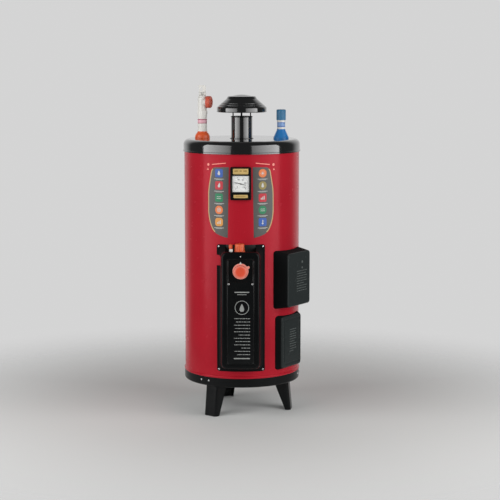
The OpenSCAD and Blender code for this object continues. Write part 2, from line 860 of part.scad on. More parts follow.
module cold_pipe() color(steel) water_pipe(cold_x, cold_top);

module dip_tube() color(white)
    translate([cold_x, 0, tank_low + dip_gap])
        ring(pipe_r - pipe_t - fit, dip_t, pipe_foot + socket_h - tank_low - dip_gap);

module anode_rod() color(zinc) translate([0, anode_y, 0]) {
    translate([0, 0, tank_low + anode_gap]) cylinder(h = socket_z - tank_low - anode_gap, r = anode_r);
    translate([0, 0, socket_z]) cylinder(h = socket_h, r = socket_r - socket_wall);
    translate([0, 0, socket_z + socket_h])
        cylinder(h = anode_r * 0.7, r = socket_r - socket_wall / 2, $fn = 6);
}

// Bell that covers the hole round a water pipe, full and round at the shoulder or a plain cone
module bell(r, top_r, h, full) {
    wall = 1.4;
    skirt = 4;
    neck = 4;
    swing = 2 * atan((r - top_r) / (h - skirt - neck));
    bow = (r - top_r) / (1 - cos(swing));
    middle = [r - bow, skirt];
    side = full ? arc(middle, bow, 0, swing) : [[r, skirt], [top_r, h - neck]];
    lining = full ? arc(middle, bow - wall, 0, swing)
        : [[r - wall, skirt - wall / 2], [top_r - wall, h - neck - wall / 2]];
    outer = concat([[r, 0]], side, [[top_r, h]]);
    inner = concat([[r - wall, 0]], lining,
        [[top_r - wall, h - 3], [pipe_r + fit, h - 3], [pipe_r + fit, h]]);
    rotate_extrude() polygon(concat(outer, rev(inner)));
}

module hot_bell() color(orange) translate([hot_x, 0, lid_top])
    bell(hot_bell_r, hot_sleeve_r + 0.8, hot_bell_h, true);

module cold_bell() color(blue) translate([cold_x, 0, lid_top])
    bell(cold_bell_r, cold_sleeve_r + 0.7, cold_bell_h, false);

// Plastic sleeve with shallow grooves round it
module sleeve(r, h, grooves) {
    difference() {
        ring(r, r - pipe_r - fit, h);
        for (z = grooves)
            translate([0, 0, z]) ring(r + cut, cut + 0.4, 2);
    }
}

module hot_sleeve() color(white) translate([hot_x, 0, hot_sleeve_z])
    sleeve(hot_sleeve_r, hot_sleeve_h, [hot_sleeve_h * 0.25, hot_sleeve_h * 0.5, hot_sleeve_h * 0.62]);

module cold_sleeve() color(white) translate([cold_x, 0, cold_sleeve_z])
    sleeve(cold_sleeve_r, cold_sleeve_h, [cold_sleeve_h * 0.3, cold_sleeve_h * 0.6]);

// Thread cap with a rounded crown and grip flutes
module cold_cap() color(blue) translate([cold_x, 0, cold_cap_z]) difference() {
    rotate_extrude()
        polygon(concat([[0, 0], [cold_cap_r, 0]], arc([cold_cap_r - 4, cold_cap_h - 4], 4, 0, 90, 6),
            [[0, cold_cap_h]]));
    translate([0, 0, -cut]) cylinder(h = cold_top - cold_cap_z + cut + air, r = pipe_r + run_fit);
    for (i = [0:23])
        rotate(15 * i) translate([cold_cap_r + 0.6, 0, 4]) cylinder(h = cold_cap_h, r = 1.2);
}

// Tee with the hot outlet at its side and the relief valve's seat on top
module relief_body() color(white) translate([hot_x, 0, 0]) difference() {
    union() {
        translate([0, 0, relief_z]) cylinder(h = relief_nut_h, r = relief_r + 2.2, $fn = 8);
        translate([0, 0, body_z]) rotate_extrude()
            polygon(concat([[0, 0], [relief_r, 0]], arc([relief_r - 3, relief_h - 3], 3, 0, 90, 6),
                [[0, relief_h]]));
        translate([0, 0, body_top - cut]) cylinder(h = bonnet_h + cut, r = bonnet_r);
        facing(outlet_azimuth) bar(0, outlet_step, pipe_r + 3, 0, outlet_z);
        facing(outlet_azimuth) bar(0, outlet_l, pipe_r, 0, outlet_z);
    }
    translate([0, 0, relief_z - cut]) cylinder(h = relief_nut_h + cut, r = pipe_r + fit);
    translate([0, 0, relief_z]) cylinder(h = relief_nut_h + outlet_h - 4, r = pipe_r - pipe_t);
    facing(outlet_azimuth) bar(0, outlet_l + cut, pipe_r - pipe_t, 0, outlet_z);
    translate([lever_x - hot_x, 0, body_top - stem_depth])
        cylinder(h = stem_depth + bonnet_h + cut, r = stem_r + run_fit);
}

module relief_stem() color(steel) difference() {
    union() {
        translate([lever_x, 0, body_top - stem_depth + air])
            cylinder(h = pin_z - body_top + stem_depth - air, r = stem_r);
        translate([lever_x - eye_w / 2, 0, pin_z]) rotate([0, 90, 0]) cylinder(h = eye_w, r = eye_r);
    }
    translate([lever_x - eye_w, 0, pin_z]) rotate([0, 90, 0]) cylinder(h = 2 * eye_w, r = pin_r + fit);
}

module relief_lever_pin() color(steel)
    translate([lever_x - lever_w / 2 - 1, 0, pin_z]) rotate([0, 90, 0])
        cylinder(h = lever_w + 2, r = pin_r);

// Forked lever with a finger loop, a thumb lip and two off-centre cams
module relief_lever() color(white) difference() {
    union() {
        translate([lever_x, lever_t / 2, pin_z]) rotate([90, 0, 0]) linear_extrude(lever_t) difference() {
            union() {
                translate([-lever_w / 2, 0]) square([lever_w, lever_h - lever_round]);
                translate([-lever_w / 2, 0]) square([lever_w - lever_round, lever_h]);
                translate([lever_w / 2 - lever_round, lever_h - lever_round]) circle(lever_round);
                translate([-lever_w / 2, lever_h - lip_r]) circle(lip_r);
            }
            translate([loop_x, loop_low]) square([loop_w, loop_high - loop_low]);
            translate([-eye_w / 2 - air, -cut]) square([eye_w + 2 * air, eye_r + 2 * air + cut]);
        }
        for (s = [-1, 1])
            translate([lever_x + s * (lever_w - ear_t) / 2 - ear_t / 2, -cam_off, pin_z]) rotate([0, 90, 0])
                cylinder(h = ear_t, r = cam_r);
    }
    translate([lever_x - lever_w, 0, pin_z]) rotate([0, 90, 0])
        cylinder(h = 2 * lever_w, r = pin_r + run_fit);
}

// Push-on cap of the hot outlet
module outlet_cap() color(orange) translate([hot_x, 0, 0]) facing(outlet_azimuth) {
    translate([0, -outlet_step - air, outlet_z]) rotate([90, 0, 0]) difference() {
        rotate_extrude()
            polygon(concat([[0, 0], [outlet_cap_r, 0]],
                arc([outlet_cap_r - 4, outlet_cap_h - 4], 4, 0, 90, 6),
                [[12, outlet_cap_h], [10, outlet_cap_h - 2.5], [0, outlet_cap_h - 2.5]]));
        translate([0, 0, -cut]) cylinder(h = outlet_l - outlet_step + cut, r = pipe_r + run_fit);
        for (i = [0:29])
            rotate(12 * i) translate([outlet_cap_r + 0.5, 0, -cut]) cylinder(h = outlet_cap_h - 5, r = 1.2);
    }
}

// Collar round the flue, with a foot flange and a rolled rim
module flue_collar() color(black) translate([0, 0, lid_top]) rotate_extrude() {
    foot = 6;
    translate([collar_r - collar_t, 0]) square([collar_t, collar_h]);
    translate([collar_r - collar_t, 0]) square([foot, collar_t]);
    translate([collar_r + foot - 2 * collar_t, collar_t]) circle(collar_t);
    difference() {
        translate([collar_r, collar_h - 2]) circle(2);
        translate([0, collar_h - 4 - cut]) square([collar_r - collar_t, 6 + cut]);
    }
}

// Three straps that stand inside the collar and carry the hood under its crown
module hood_struts() color(black)
    for (i = [0:2])
        facing(120 * i) intersection() {
            translate([0, 0, collar_top - strut_lap])
                ring(strut_r, strut_t, strut_lap + hood_gap + strut_top);
            translate([-strut_w / 2, -2 * strut_r, 0]) cube([strut_w, 2 * strut_r, 2 * jacket_top]);
        }

// Half outline of the hood's outside, from the rim's foot to its middle
function hood_side(t) = concat(
    [[hood_r - t, 0]],
    arc(rim_mid, hood_edge - t, 0, 90 - hood_lean, 6),
    arc(cone_top + nook_r * cone_out, nook_r + t, 270 - hood_lean, 205, 3),
    arc(crown_mid, hood_edge - t, 20, 70, 5),
    [for (i = [4:-1:0]) [dome_r * i / 5, crown_h + crown_rise * (1 - i * i / 25) - t]]);

module draft_hood() color(black) translate([0, 0, hood_z]) rotate_extrude() {
    polygon(concat(hood_side(0), rev(hood_side(collar_t))));
    translate([hood_r - collar_t / 2, 1]) circle(1.6);
    for (share = [0.2, 0.45])
        translate(cone_low + (cone_top - cone_low) * share - collar_t / 2 * cone_out) circle(1.6);
}

module gauge_bezel() color(black) translate([0, 0, gauge_z]) difference() {
    plate(cover_back, gauge_front - cover_back) rounded(gauge_w, gauge_h, 6);
    translate([0, 0, -gauge_z]) cylinder(h = 2 * jacket_top, r = jacket_r + fit);
    translate([0, 0, dial_z - gauge_z]) {
        plate(dial_y, gauge_depth) rounded(dial_w, dial_h, 2);
        plate(glass_y, gauge_depth) rounded(dial_w + 2 * glass_lip, dial_h + 2 * glass_lip, 3);
        bar(0, 2 * jacket_r, stem_gauge_r + fit);
    }
}

module gauge_glass() color("#dfe8ea", 0.3) translate([0, 0, dial_z])
    plate(glass_y, glass_t)
        rounded(dial_w + 2 * glass_lip - 2 * fit, dial_h + 2 * glass_lip - 2 * fit, 3 - fit);

module gauge_dial() color(white) translate([0, 0, dial_z]) plate(dial_y, dial_t) difference() {
    rounded(dial_w - 2 * fit, dial_h - 2 * fit, 2 - fit);
    circle(pivot_r + fit);
}

module gauge_needle() color("#202020") translate([0, 0, dial_z]) {
    difference() {
        union() {
            plate(needle_y, needle_t) rotate(needle_rest)
                polygon([[-1.7, 0], [-0.7, needle_l], [0.7, needle_l], [1.7, 0], [1.2, -needle_tail],
                    [-1.2, -needle_tail]]);
            bar(needle_y, needle_t + 0.4, 3);
        }
        bar(0, 2 * jacket_r, pivot_r + run_fit);
    }
}

module gauge_stem() color(brass) {
    bar(tank_in - 30, dial_y - tank_in + 30, stem_gauge_r, 0, dial_z);
    bar(dial_y - cut, needle_y + needle_t - dial_y + cut, pivot_r, 0, dial_z);
}

module cover_screw_places() {
    for (s = [-1, 1], t = [-1, 1])
        translate([0, 0, cover_z + t * screw_dz]) facing(s * screw_a) children();
}

// Drafted cover with a flange that follows the jacket, a window and a mouth over the gas control
module front_cover() color(black) difference() {
    union() {
        translate([0, 0, cover_z])
            drafted(cover_back, cover_face, cover_face_w, cover_face_h, cover_draft, cover_rise,
                cover_corner, cover_edge);
        intersection() {
            translate([0, 0, cover_z - cover_foot_h])
                ring(jacket_r + fit + flange_t, flange_t, 2 * cover_foot_h);
            translate([0, 0, cover_z]) plate(0, 2 * jacket_r)
                rounded(cover_foot_w + 2 * cover_flange, cover_foot_h + 2 * cover_flange, 9);
        }
    }
    translate([0, 0, cover_z])
        drafted(cover_back - cut, panel_front, cover_face_w - 2 * cover_t, cover_face_h - 2 * cover_t,
            cover_draft, cover_rise, cover_corner - cover_t, cover_edge - cover_t);
    translate([0, 0, cover_z - cover_foot_h]) cylinder(h = 2 * cover_foot_h, r = jacket_r + fit);
    translate([0, 0, window_z]) plate(0, 2 * jacket_r) rounded(window_w, window_h, 8);
    translate([-window_w / 2 - 5, -cover_face + cover_edge + 2, cover_top - 22])
        cube([window_w + 10, cover_depth, 80]);
    translate([-cover_foot_w, -inlet_y - inlet_r - 9, inlet_z - inlet_r - 11])
        cube([cover_foot_w - cover_face_w / 2 + 14, cover_depth, 2 * inlet_r + 22]);
    cover_screw_places() bar(0, jacket_r + cover_depth, screw_r + fit);
}

module cover_screws() color(steel)
    cover_screw_places()
        screw(jacket_r + fit + flange_t, fit + flange_t + jacket_t, screw_r, head_r, head_h);

// Insert that closes the window, with a well round the temperature dial
module front_panel() color(black) difference() {
    union() {
        translate([0, 0, window_z]) plate(panel_back, panel_t)
            rounded(window_w + 2 * panel_lap, window_h + 2 * panel_lap, 10);
        translate([0, 0, window_z]) plate(panel_front, 1.4)
            difference() {
                rounded(window_w - 2 * air, window_h - 2 * air, 8 - air);
                rounded(window_w - 7, window_h - 7, 6);
            }
        translate([0, 0, control_z + 2]) plate(well_floor - panel_t, well_depth + panel_t)
            rounded(well_w + 2 * panel_t, well_h + 2 * panel_t, 10);
    }
    translate([0, 0, control_z + 2]) plate(well_floor, 2 * well_depth) rounded(well_w, well_h, 8);
    bar(0, 2 * jacket_r, boss_r + air, 0, control_z);
    for (s = [-1, 1])
        bar(0, 2 * jacket_r, screw_r + fit, s * panel_screw_x, panel_screw_z);
}

module panel_screws() color(steel)
    for (s = [-1, 1])
        translate([s * panel_screw_x, 0, panel_screw_z])
            screw(panel_front, panel_t + 6, screw_r, head_r, head_h);

// Cast gas control with its inlet, outlets, guides and spindles
module gas_control() color(zinc) {
    spindle_end = well_floor + dial_gap + temp_h * 0.7;
    difference() {
        union() {
            translate([0, 0, valve_z]) plate(valve_back, valve_front - valve_back)
                rounded(valve_w, valve_h, 9);
            bar(valve_front, valve_disc_t, valve_disc_r, 0, control_z);
            bar(valve_front, well_floor - valve_front - panel_t + 1, boss_r, 0, control_z);
            bar(tank_in, valve_back - tank_in, shank_r, 0, control_z);
            translate([cock_x, -cock_y, valve_top - cut]) cylinder(h = cock_boss + cut, r = cock_boss_r);
            translate([pilot_x, -pilot_y, valve_top - cut])
                cylinder(h = pilot_guide + cut, r = plunger_r + guide_wall);
            translate([inlet_x, -inlet_y, inlet_z]) rotate([0, 90, 0])
                cylinder(h = inlet_boss + cut, r = inlet_r + inlet_wall);
            translate([0, -tube_y, valve_low - nut_h]) cylinder(h = nut_h + cut, r = nut_r, $fn = 6);
            for (s = [-1, 1]) {
                translate([s * panel_screw_x - post_block[0] / 2, -valve_front,
                    panel_screw_z - post_block[0] / 2])
                    cube(post_block);
                bar(valve_front - cut, panel_back - valve_front + cut, post_r, s * panel_screw_x,
                    panel_screw_z);
            }
            translate([igniter_x, -igniter_y, valve_top - igniter_ring_h])
                cylinder(h = igniter_ring_h, r = igniter_r + 2);
        }
        translate([pilot_x, -pilot_y, valve_top - 16])
            cylinder(h = 16 + pilot_guide + cut, r = plunger_r + run_fit);
        translate([inlet_x - cut, -inlet_y, inlet_z]) rotate([0, 90, 0])
            cylinder(h = inlet_depth + cut, r = inlet_r);
        translate([igniter_x, -igniter_y, 0]) cylinder(h = jacket_top, r = igniter_r + fit);
        translate([0, -tube_y, valve_low - nut_h - cut]) cylinder(h = cut + nut_h * 0.7, r = tube_r + fit);
        for (s = [-1, 1])
            bar(panel_back - 7, 20, screw_r + fit, s * panel_screw_x, panel_screw_z);
        bar(0, tank_in + 10, probe_r + fit, 0, control_z);
    }
    bar(well_floor - panel_t, spindle_end - well_floor + panel_t, spindle_r, 0, control_z);
    translate([cock_x, -cock_y, valve_top]) cylinder(h = cock_boss + cock_h * 0.6, r = spindle_r);
}

module thermostat_probe() color(brass)
    bar(tank_in + 10 - probe_l, probe_l, probe_r, 0, control_z);

// Fluted knob on a skirt, along +Z, with a bore for its spindle and a pointer rib
module knob(r, h, skirt, bore, flutes) {
    grip = r * 0.8;
    flute_r = r * 0.09;
    difference() {
        rotate_extrude()
            polygon(concat([[0, 0], [r, 0]], arc([r - 1.5, skirt - 1.5], 1.5, 0, 90, 4),
                [[grip + 1.5, skirt]], arc([grip - 3, h - 3], 3, 0, 90, 6), [[0, h]]));
        translate([0, 0, -cut]) cylinder(h = bore + cut, r = spindle_r + run_fit);
        for (i = [0:flutes - 1])
            rotate(360 / flutes * (i + 0.5)) translate([grip + flute_r * 0.7, 0, skirt + 1])
                cylinder(h = h, r = flute_r);
    }
    translate([-1.5, r * 0.2, h - 3]) cube([3, grip - r * 0.2, 4]);
}

// Temperature dial with a finger tab at its rim
module temp_dial() color(orange) translate([0, -well_floor - dial_gap, control_z]) rotate([90, 0, 0]) {
    skirt = temp_h / 4;
    knob(temp_r, temp_h, skirt, temp_h * 0.7 + air, 20);
    rotate(tab_azimuth) {
        translate([temp_r - tab_r, -tab_r, 0]) cube([tab_r + tab_out, 2 * tab_r, skirt * 0.9]);
        translate([temp_r + tab_out, 0, 0]) cylinder(h = skirt * 0.9, r = tab_r);
    }
}

module gas_cock_knob() color(orange)
    translate([cock_x, -cock_y, valve_top + cock_boss + dial_gap])
        knob(cock_r, cock_h, 5, cock_h * 0.6 + air, 14);

// Button with a domed head on a plunger
module button(r, head_r, plunger, head_h) {
    translate([0, 0, -plunger]) cylinder(h = plunger + 1, r = r);
    rotate_extrude()
        polygon(concat([[0, 0], [head_r, 0]], arc([head_r - 2, head_h - 2], 2, 0, 90, 5), [[0, head_h]]));
}

module pilot_button() color(orange)
    translate([pilot_x, -pilot_y, valve_top + pilot_guide + button_travel + air])
        button(plunger_r, pilot_head_r, pilot_guide + 7, 14);

module igniter_body() color(black) translate([igniter_x, -igniter_y, 0]) difference() {
    union() {
        translate([0, 0, igniter_low]) cylinder(h = igniter_top - igniter_low, r = igniter_r);
        translate([0, 0, valve_top]) cylinder(h = igniter_flange, r = igniter_r + 2);
    }
    translate([0, 0, igniter_top - 20]) cylinder(h = 20 + cut, r = 5 + run_fit);
}

module igniter_button() color(white)
    translate([igniter_x, -igniter_y, igniter_top + button_travel + air]) button(5, igniter_head_r, 12, 9);

// Drafted side cover that follows the jacket
module side_cover(z, face, w, h, lean, rise, corner, edge) {
    facing(side_azimuth) difference() {
        translate([0, 0, z]) drafted(cover_back, face, w, h, lean, rise, corner, edge);
        translate([0, 0, z])
            drafted(cover_back - cut, face - side_t, w - 2 * side_t, h - 2 * side_t, lean, rise,
                corner - side_t, edge - side_t);
        translate([0, 0, z - h]) cylinder(h = 2 * h, r = jacket_r + fit);
        children();
    }
}

module side_cover_upper() color(black)
    side_cover(upper_z, upper_face, upper_w, upper_h, side_draft, side_draft, 12, 5);

module side_cover_lower() color(black)
    side_cover(lower_z, lower_face, lower_w, lower_h, lower_lean, lower_rise, 14, 6)
        translate([0, 0, lower_z]) plate(lower_face - 1, 5) difference() {
            rounded(lower_w - 26, lower_h - 26, 8);
            rounded(lower_w - 40, lower_h - 40, 5);
        }

leg_front_left();
leg_right();
leg_rear();
leg_screws();
base_ring();
jacket();
top_cover();
insulation();
tank_shell();
tank_top_head();
tank_bottom_head();
tank_sockets();
flue_tube();
flue_baffle();
chamber_floor();
main_burner();
burner_gas_tube();
pilot_burner();
pilot_tube();
thermocouple();
burner_door();
hot_pipe();
cold_pipe();
dip_tube();
anode_rod();
hot_bell();
cold_bell();
hot_sleeve();
cold_sleeve();
cold_cap();
relief_body();
relief_stem();
relief_lever();
relief_lever_pin();
outlet_cap();
flue_collar();
hood_struts();
draft_hood();
gauge_bezel();
gauge_glass();
gauge_dial();
gauge_needle();
gauge_stem();
front_cover();
front_panel();
cover_screws();
panel_screws();
gas_control();
thermostat_probe();
temp_dial();
gas_cock_knob();
pilot_button();
igniter_body();
igniter_button();
side_cover_upper();
side_cover_lower();
hand_hole_plate();
hand_hole_gasket();
hand_hole_bolts();
drain_plug();
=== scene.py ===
# %% [markdown]
# # A gas storage water heater
# The CAD model already holds every solid of the heater: jacket, lid, hood, covers, valve and knobs.
# This lesson gives those solids their finishes, and adds what a workshop would fold, print, stick or
# screw on at the end: the jacket's seam, the printed panels, the gauge's scale and trim, and the screw
# heads. All lengths are in metres, z is up, and the heater's front looks towards -y.

# %% Load the frame
import json
import math

import bmesh
import bpy
from mathutils import Matrix, Vector


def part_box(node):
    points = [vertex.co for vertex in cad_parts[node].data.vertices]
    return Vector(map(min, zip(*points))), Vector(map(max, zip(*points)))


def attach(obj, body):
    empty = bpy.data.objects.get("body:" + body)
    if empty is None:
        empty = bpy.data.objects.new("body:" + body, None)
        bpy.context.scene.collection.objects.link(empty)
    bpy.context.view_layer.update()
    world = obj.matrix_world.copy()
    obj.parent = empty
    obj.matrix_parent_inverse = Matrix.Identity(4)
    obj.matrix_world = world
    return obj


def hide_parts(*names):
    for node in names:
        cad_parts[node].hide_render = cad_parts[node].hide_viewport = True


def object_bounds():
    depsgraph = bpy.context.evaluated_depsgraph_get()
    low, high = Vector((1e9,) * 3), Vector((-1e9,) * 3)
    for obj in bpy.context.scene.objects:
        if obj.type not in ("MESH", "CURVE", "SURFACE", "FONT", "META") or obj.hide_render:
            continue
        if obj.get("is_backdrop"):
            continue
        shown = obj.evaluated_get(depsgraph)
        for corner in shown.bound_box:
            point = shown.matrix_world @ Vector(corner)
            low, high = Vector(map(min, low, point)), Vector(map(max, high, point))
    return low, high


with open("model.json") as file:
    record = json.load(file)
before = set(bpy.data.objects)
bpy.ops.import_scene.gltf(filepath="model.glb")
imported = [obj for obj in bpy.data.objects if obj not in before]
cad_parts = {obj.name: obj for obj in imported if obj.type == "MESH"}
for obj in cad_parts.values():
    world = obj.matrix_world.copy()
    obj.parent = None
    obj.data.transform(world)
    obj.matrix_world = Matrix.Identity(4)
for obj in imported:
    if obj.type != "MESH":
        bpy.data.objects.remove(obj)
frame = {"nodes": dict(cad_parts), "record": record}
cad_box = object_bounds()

MM = 0.001
nodes = frame["nodes"]
scene = bpy.context.scene
print("CAD nodes:", len(nodes), "height in mm:", round((cad_box[1].z - cad_box[0].z) / MM))

# %% [markdown]
# ## Measuring the frame
# A printed panel has to lie on the sheet that carries it, so its place is measured on the CAD node
# and not typed in. `reach` says how far a node goes in a direction, and `facing` turns a piece that
# was made at the front to any other side of the tank. The jacket's radius is measured on its plain
# upper end, because the rolled bead at its foot is wider.

# %% Measuring helpers
FRONT, UP = Vector((0, -1, 0)), Vector((0, 0, 1))
PLAIN_END = 20 * MM

def mm(*lengths):
    """Lengths that are given in millimetres, in metres."""
    return [length * MM for length in lengths]

def reach(name, direction, low=-math.inf):
    """How far a node goes in a direction, from a height upwards."""
    return max(v.co @ direction for v in nodes[name].data.vertices if v.co.z >= low)

def facing(azimuth):
    """The turn that brings the front of the tank to an azimuth in degrees, right of the front."""
    return Matrix.Rotation(math.radians(azimuth), 4, "Z")

jacket_low, jacket_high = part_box("jacket")
jacket_radius = reach("jacket", FRONT, jacket_high.z - PLAIN_END)
print("jacket radius in mm:", round(jacket_radius / MM, 2))

# %% [markdown]
# ## Camera
# The photograph was taken from about 6 m with a long lens, a little above the lid, so the lid shows
# as a thin ellipse and upright edges stay nearly parallel.

# %% Camera
CAMERA_PLACE = (0.1043, -5.9731, 1.429)
CAMERA_TURN = (82.41, 0.0, 0.69)
CAMERA_LENS, CAMERA_SENSOR = 109.74, 36

camera_data = bpy.data.cameras.new("camera")
camera_data.lens = CAMERA_LENS
camera_data.sensor_width = CAMERA_SENSOR
camera = bpy.data.objects.new("camera", camera_data)
camera.location = CAMERA_PLACE
camera.rotation_euler = [math.radians(a) for a in CAMERA_TURN]
scene.collection.objects.link(camera)
scene.camera = camera
scene.view_settings.view_transform = "Standard"
print("camera distance in m:", round(camera.location.length, 2))

# %% [markdown]
# ## Colours and shader nodes
# A colour is easiest to judge as a screen shows it, from 0 to 255, but a shader counts in linear light.
# `srgb` turns the one into the other. Node trees get long when every link is written out, so `node`
# adds one shader node and fills its inputs in the same call.

# %% Colours and nodes

def srgb(red, green, blue):
    """A colour as a screen shows it, 0 to 255, in the linear light that shaders use."""
    shares = [c / 255 for c in (red, green, blue)]
    return [s / 12.92 if s <= 0.04045 else ((s + 0.055) / 1.055) ** 2.4 for s in shares] + [1.0]

def node(tree, kind, inputs=None, **settings):
    """Adds a shader node. An input is a plain value, or the socket that feeds it."""
    new = tree.nodes.new("ShaderNode" + kind)
    for name, value in settings.items():
        setattr(new, name, value)
    for key, value in (inputs or {}).items():
        if isinstance(value, bpy.types.NodeSocket):
            tree.links.new(value, new.inputs[key])
        else:
            new.inputs[key].default_value = value
    return new

print("middle grey in linear light:", round(srgb(128, 128, 128)[0], 3))

# %% [markdown]
# ## Studio
# Two large soft boxes, one at each side of the camera, draw the upright bands on the lid and the collar.
# Each box is brightest at its outer side and falls off towards the camera, so a band fades to the
# middle. The room is dim on the camera's side, so black stays black between the bands, and pale behind
# the heater, which gives the bright rims.

# %% Room
DIM_ROOM, PALE_WALL = 0.09, 0.66
WALL_START, WALL_END = 0.45, 0.80

world = bpy.data.worlds.new("room")
world.use_nodes = True
tree = world.node_tree
direction = node(tree, "TexCoord").outputs["Generated"]
behind = node(tree, "SeparateXYZ", {0: direction}).outputs["Y"]
span = {"From Min": WALL_START, "From Max": WALL_END, "To Min": DIM_ROOM, "To Max": PALE_WALL}
level = node(tree, "MapRange", {"Value": behind, **span}, interpolation_type="SMOOTHSTEP")
tree.links.new(level.outputs["Result"], tree.nodes["Background"].inputs["Strength"])
tree.nodes["Background"].inputs["Color"].default_value = (1, 1, 1, 1)
scene.world = world
print("room from", DIM_ROOM, "to", PALE_WALL)

# %% Soft boxes
BOX_WIDTH, BOX_TALL = 2.6, 2.6
BOX_BRIGHTNESS = 2.6
BOX_INNER, BOX_OUTER = 0.4, 1.6
BOX_AZIMUTH, BOX_DISTANCE, BOX_HEIGHT = 48, 2.4, 1.35

UPRIGHT = Matrix.Rotation(math.radians(90), 4, "X")

def soft_box(azimuth, left, right):
    """A box that looks at the tank's axis; left and right are shares of its light, seen from its back."""
    lamp = bpy.data.lights.new("soft_box", "AREA")
    lamp.shape = "RECTANGLE"
    lamp.size, lamp.size_y = BOX_WIDTH, BOX_TALL
    lamp.energy = BOX_BRIGHTNESS * math.pi * BOX_WIDTH * BOX_TALL
    lamp.use_nodes = True
    tree = lamp.node_tree
    cloth = node(tree, "NewGeometry").outputs["Parametric"]
    across = node(tree, "SeparateXYZ", {0: cloth}).outputs["X"]
    level = node(tree, "MapRange", {"Value": across, "To Min": left, "To Max": right})
    tree.links.new(level.outputs["Result"], tree.nodes["Emission"].inputs["Strength"])
    box = bpy.data.objects.new("soft_box", lamp)
    box.matrix_world = facing(azimuth) @ Matrix.Translation((0, -BOX_DISTANCE, BOX_HEIGHT)) @ UPRIGHT
    box.visible_camera = False
    scene.collection.objects.link(box)
    print("soft box at", [round(c, 2) for c in box.matrix_world.translation])

soft_box(-BOX_AZIMUTH, BOX_OUTER, BOX_INNER)
soft_box(BOX_AZIMUTH, BOX_INNER, BOX_OUTER)

# %% [markdown]
# ## Floor
# The heater stands on a round sheet of pale paper. A sheet that ends anywhere shows a horizon, so
# this one grows clear with its distance from the heater and lets the room's wall take over.

# %% Floor
FLOOR_RADIUS, FLOOR_SIDES = 3.4, 96
FADE_START, FADE_END = 0.5, 1.9
PAPER, PAPER_ROUGHNESS = srgb(228, 228, 226), 0.85

paper = bpy.data.materials.new("paper_floor")
paper.use_nodes = True
tree = paper.node_tree
place = node(tree, "TexCoord").outputs["Object"]
distance = node(tree, "VectorMath", {0: place}, operation="LENGTH").outputs["Value"]
span = {"From Min": FADE_START, "From Max": FADE_END}
fade = node(tree, "MapRange", {"Value": distance, **span}, interpolation_type="SMOOTHSTEP")
sheet = tree.nodes["Principled BSDF"]
sheet.inputs["Base Color"].default_value = PAPER
sheet.inputs["Roughness"].default_value = PAPER_ROUGHNESS
clear = node(tree, "BsdfTransparent").outputs["BSDF"]
mix = node(tree, "MixShader", {0: fade.outputs["Result"], 1: sheet.outputs["BSDF"], 2: clear})
tree.links.new(mix.outputs["Shader"], tree.nodes["Material Output"].inputs["Surface"])

bm = bmesh.new()
bmesh.ops.create_circle(bm, cap_ends=True, segments=FLOOR_SIDES, radius=FLOOR_RADIUS)
floor_mesh = bpy.data.meshes.new("floor")
bm.to_mesh(floor_mesh)
bm.free()
floor_mesh.materials.append(paper)
floor = bpy.data.objects.new("floor", floor_mesh)
scene.collection.objects.link(floor)
floor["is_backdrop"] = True
print("floor radius in m:", FLOOR_RADIUS)

# %% [markdown]
# ## Finishes
# A finish is never one flat colour. Each one starts from its plain colour and gets a slow drift of
# tone, a roughness that changes from place to place, and a fine relief. What is the same all over a
# surface is set on the shader's own socket, and only what changes is linked. Every finish is kept
# under its name, so a later step can ask for it.

# %% A finish and its links
finishes = {}

def finish(name, **sockets):
    """A material whose main shader has these sockets set to plain values."""
    material = bpy.data.materials.new(name)
    material.use_nodes = True
    shader = material.node_tree.nodes["Principled BSDF"]
    for socket, value in sockets.items():
        shader.inputs[socket.replace("_", " ")].default_value = value
    finishes[name] = material
    return material

def feed(material, socket, source):
    """Links a socket of the main shader."""
    tree = material.node_tree
    tree.links.new(source, tree.nodes["Principled BSDF"].inputs[socket])

def colour_of(material):
    """The socket that feeds the main shader's colour."""
    return material.node_tree.nodes["Principled BSDF"].inputs["Base Color"].links[0].from_socket

def shade(colour, factor):
    """A colour made darker or lighter."""
    return [min(1.0, c * factor) for c in colour[:3]] + [1.0]

print("a white made darker:", shade(srgb(255, 255, 255), 0.5))

# %% [markdown]
# ## Noise on Object coordinates
# Every pattern is a noise on Object coordinates, so it has the scale of the real thing, in metres, on
# every piece, and stays on the piece when a joint moves. A noise is mostly between 0.3 and 0.7, so
# `between` spreads that part over the range that is wanted.

# %% Noise and tones

def coordinates(material, stretch=(1, 1, 1)):
    """Object coordinates in metres, stretched along the axes."""
    tree = material.node_tree
    place = node(tree, "TexCoord").outputs["Object"]
    return node(tree, "Mapping", {"Vector": place, "Scale": stretch}).outputs["Vector"]

def noise(material, grain, detail=2.0, stretch=(1, 1, 1)):
    """A noise of which one grain is about so many metres wide."""
    sockets = {"Vector": coordinates(material, stretch), "Scale": 1 / grain, "Detail": detail}
    return node(material.node_tree, "TexNoise", sockets).outputs["Fac"]

def between(material, value, low, high, start=0.3, end=0.7):
    """Maps start..end of a value to low..high."""
    sockets = {"Value": value, "From Min": start, "From Max": end, "To Min": low, "To Max": high}
    return node(material.node_tree, "MapRange", sockets).outputs["Result"]

def tones(material, share, first, second):
    """From one colour to another by a share of 0 to 1."""
    mixer = node(material.node_tree, "Mix", {0: share, 6: first, 7: second}, data_type="RGBA")
    return mixer.outputs[2]

def uneven(material, pattern, gloss, spread):
    """Feeds a roughness that a pattern moves up and down from a gloss."""
    feed(material, "Roughness", between(material, pattern, gloss + spread[0], gloss + spread[1]))

print("noise tools ready")

# %% [markdown]
# ## Edges
# No real edge is quite sharp, and on an old coat the edges are rubbed first. The Bevel node rounds each
# edge in the shading alone, so a sheet edge catches the light as a real one does. Where its normal
# leaves the face's own, there is an edge: that is the mask for the rubbed places.

# %% Relief and rubbed edges
BEVEL_SAMPLES = 6
EDGE_START, EDGE_END = 0.80, 0.98
RUB_GRAIN, RUB_START, RUB_END = 6 * MM, 0.42, 0.62

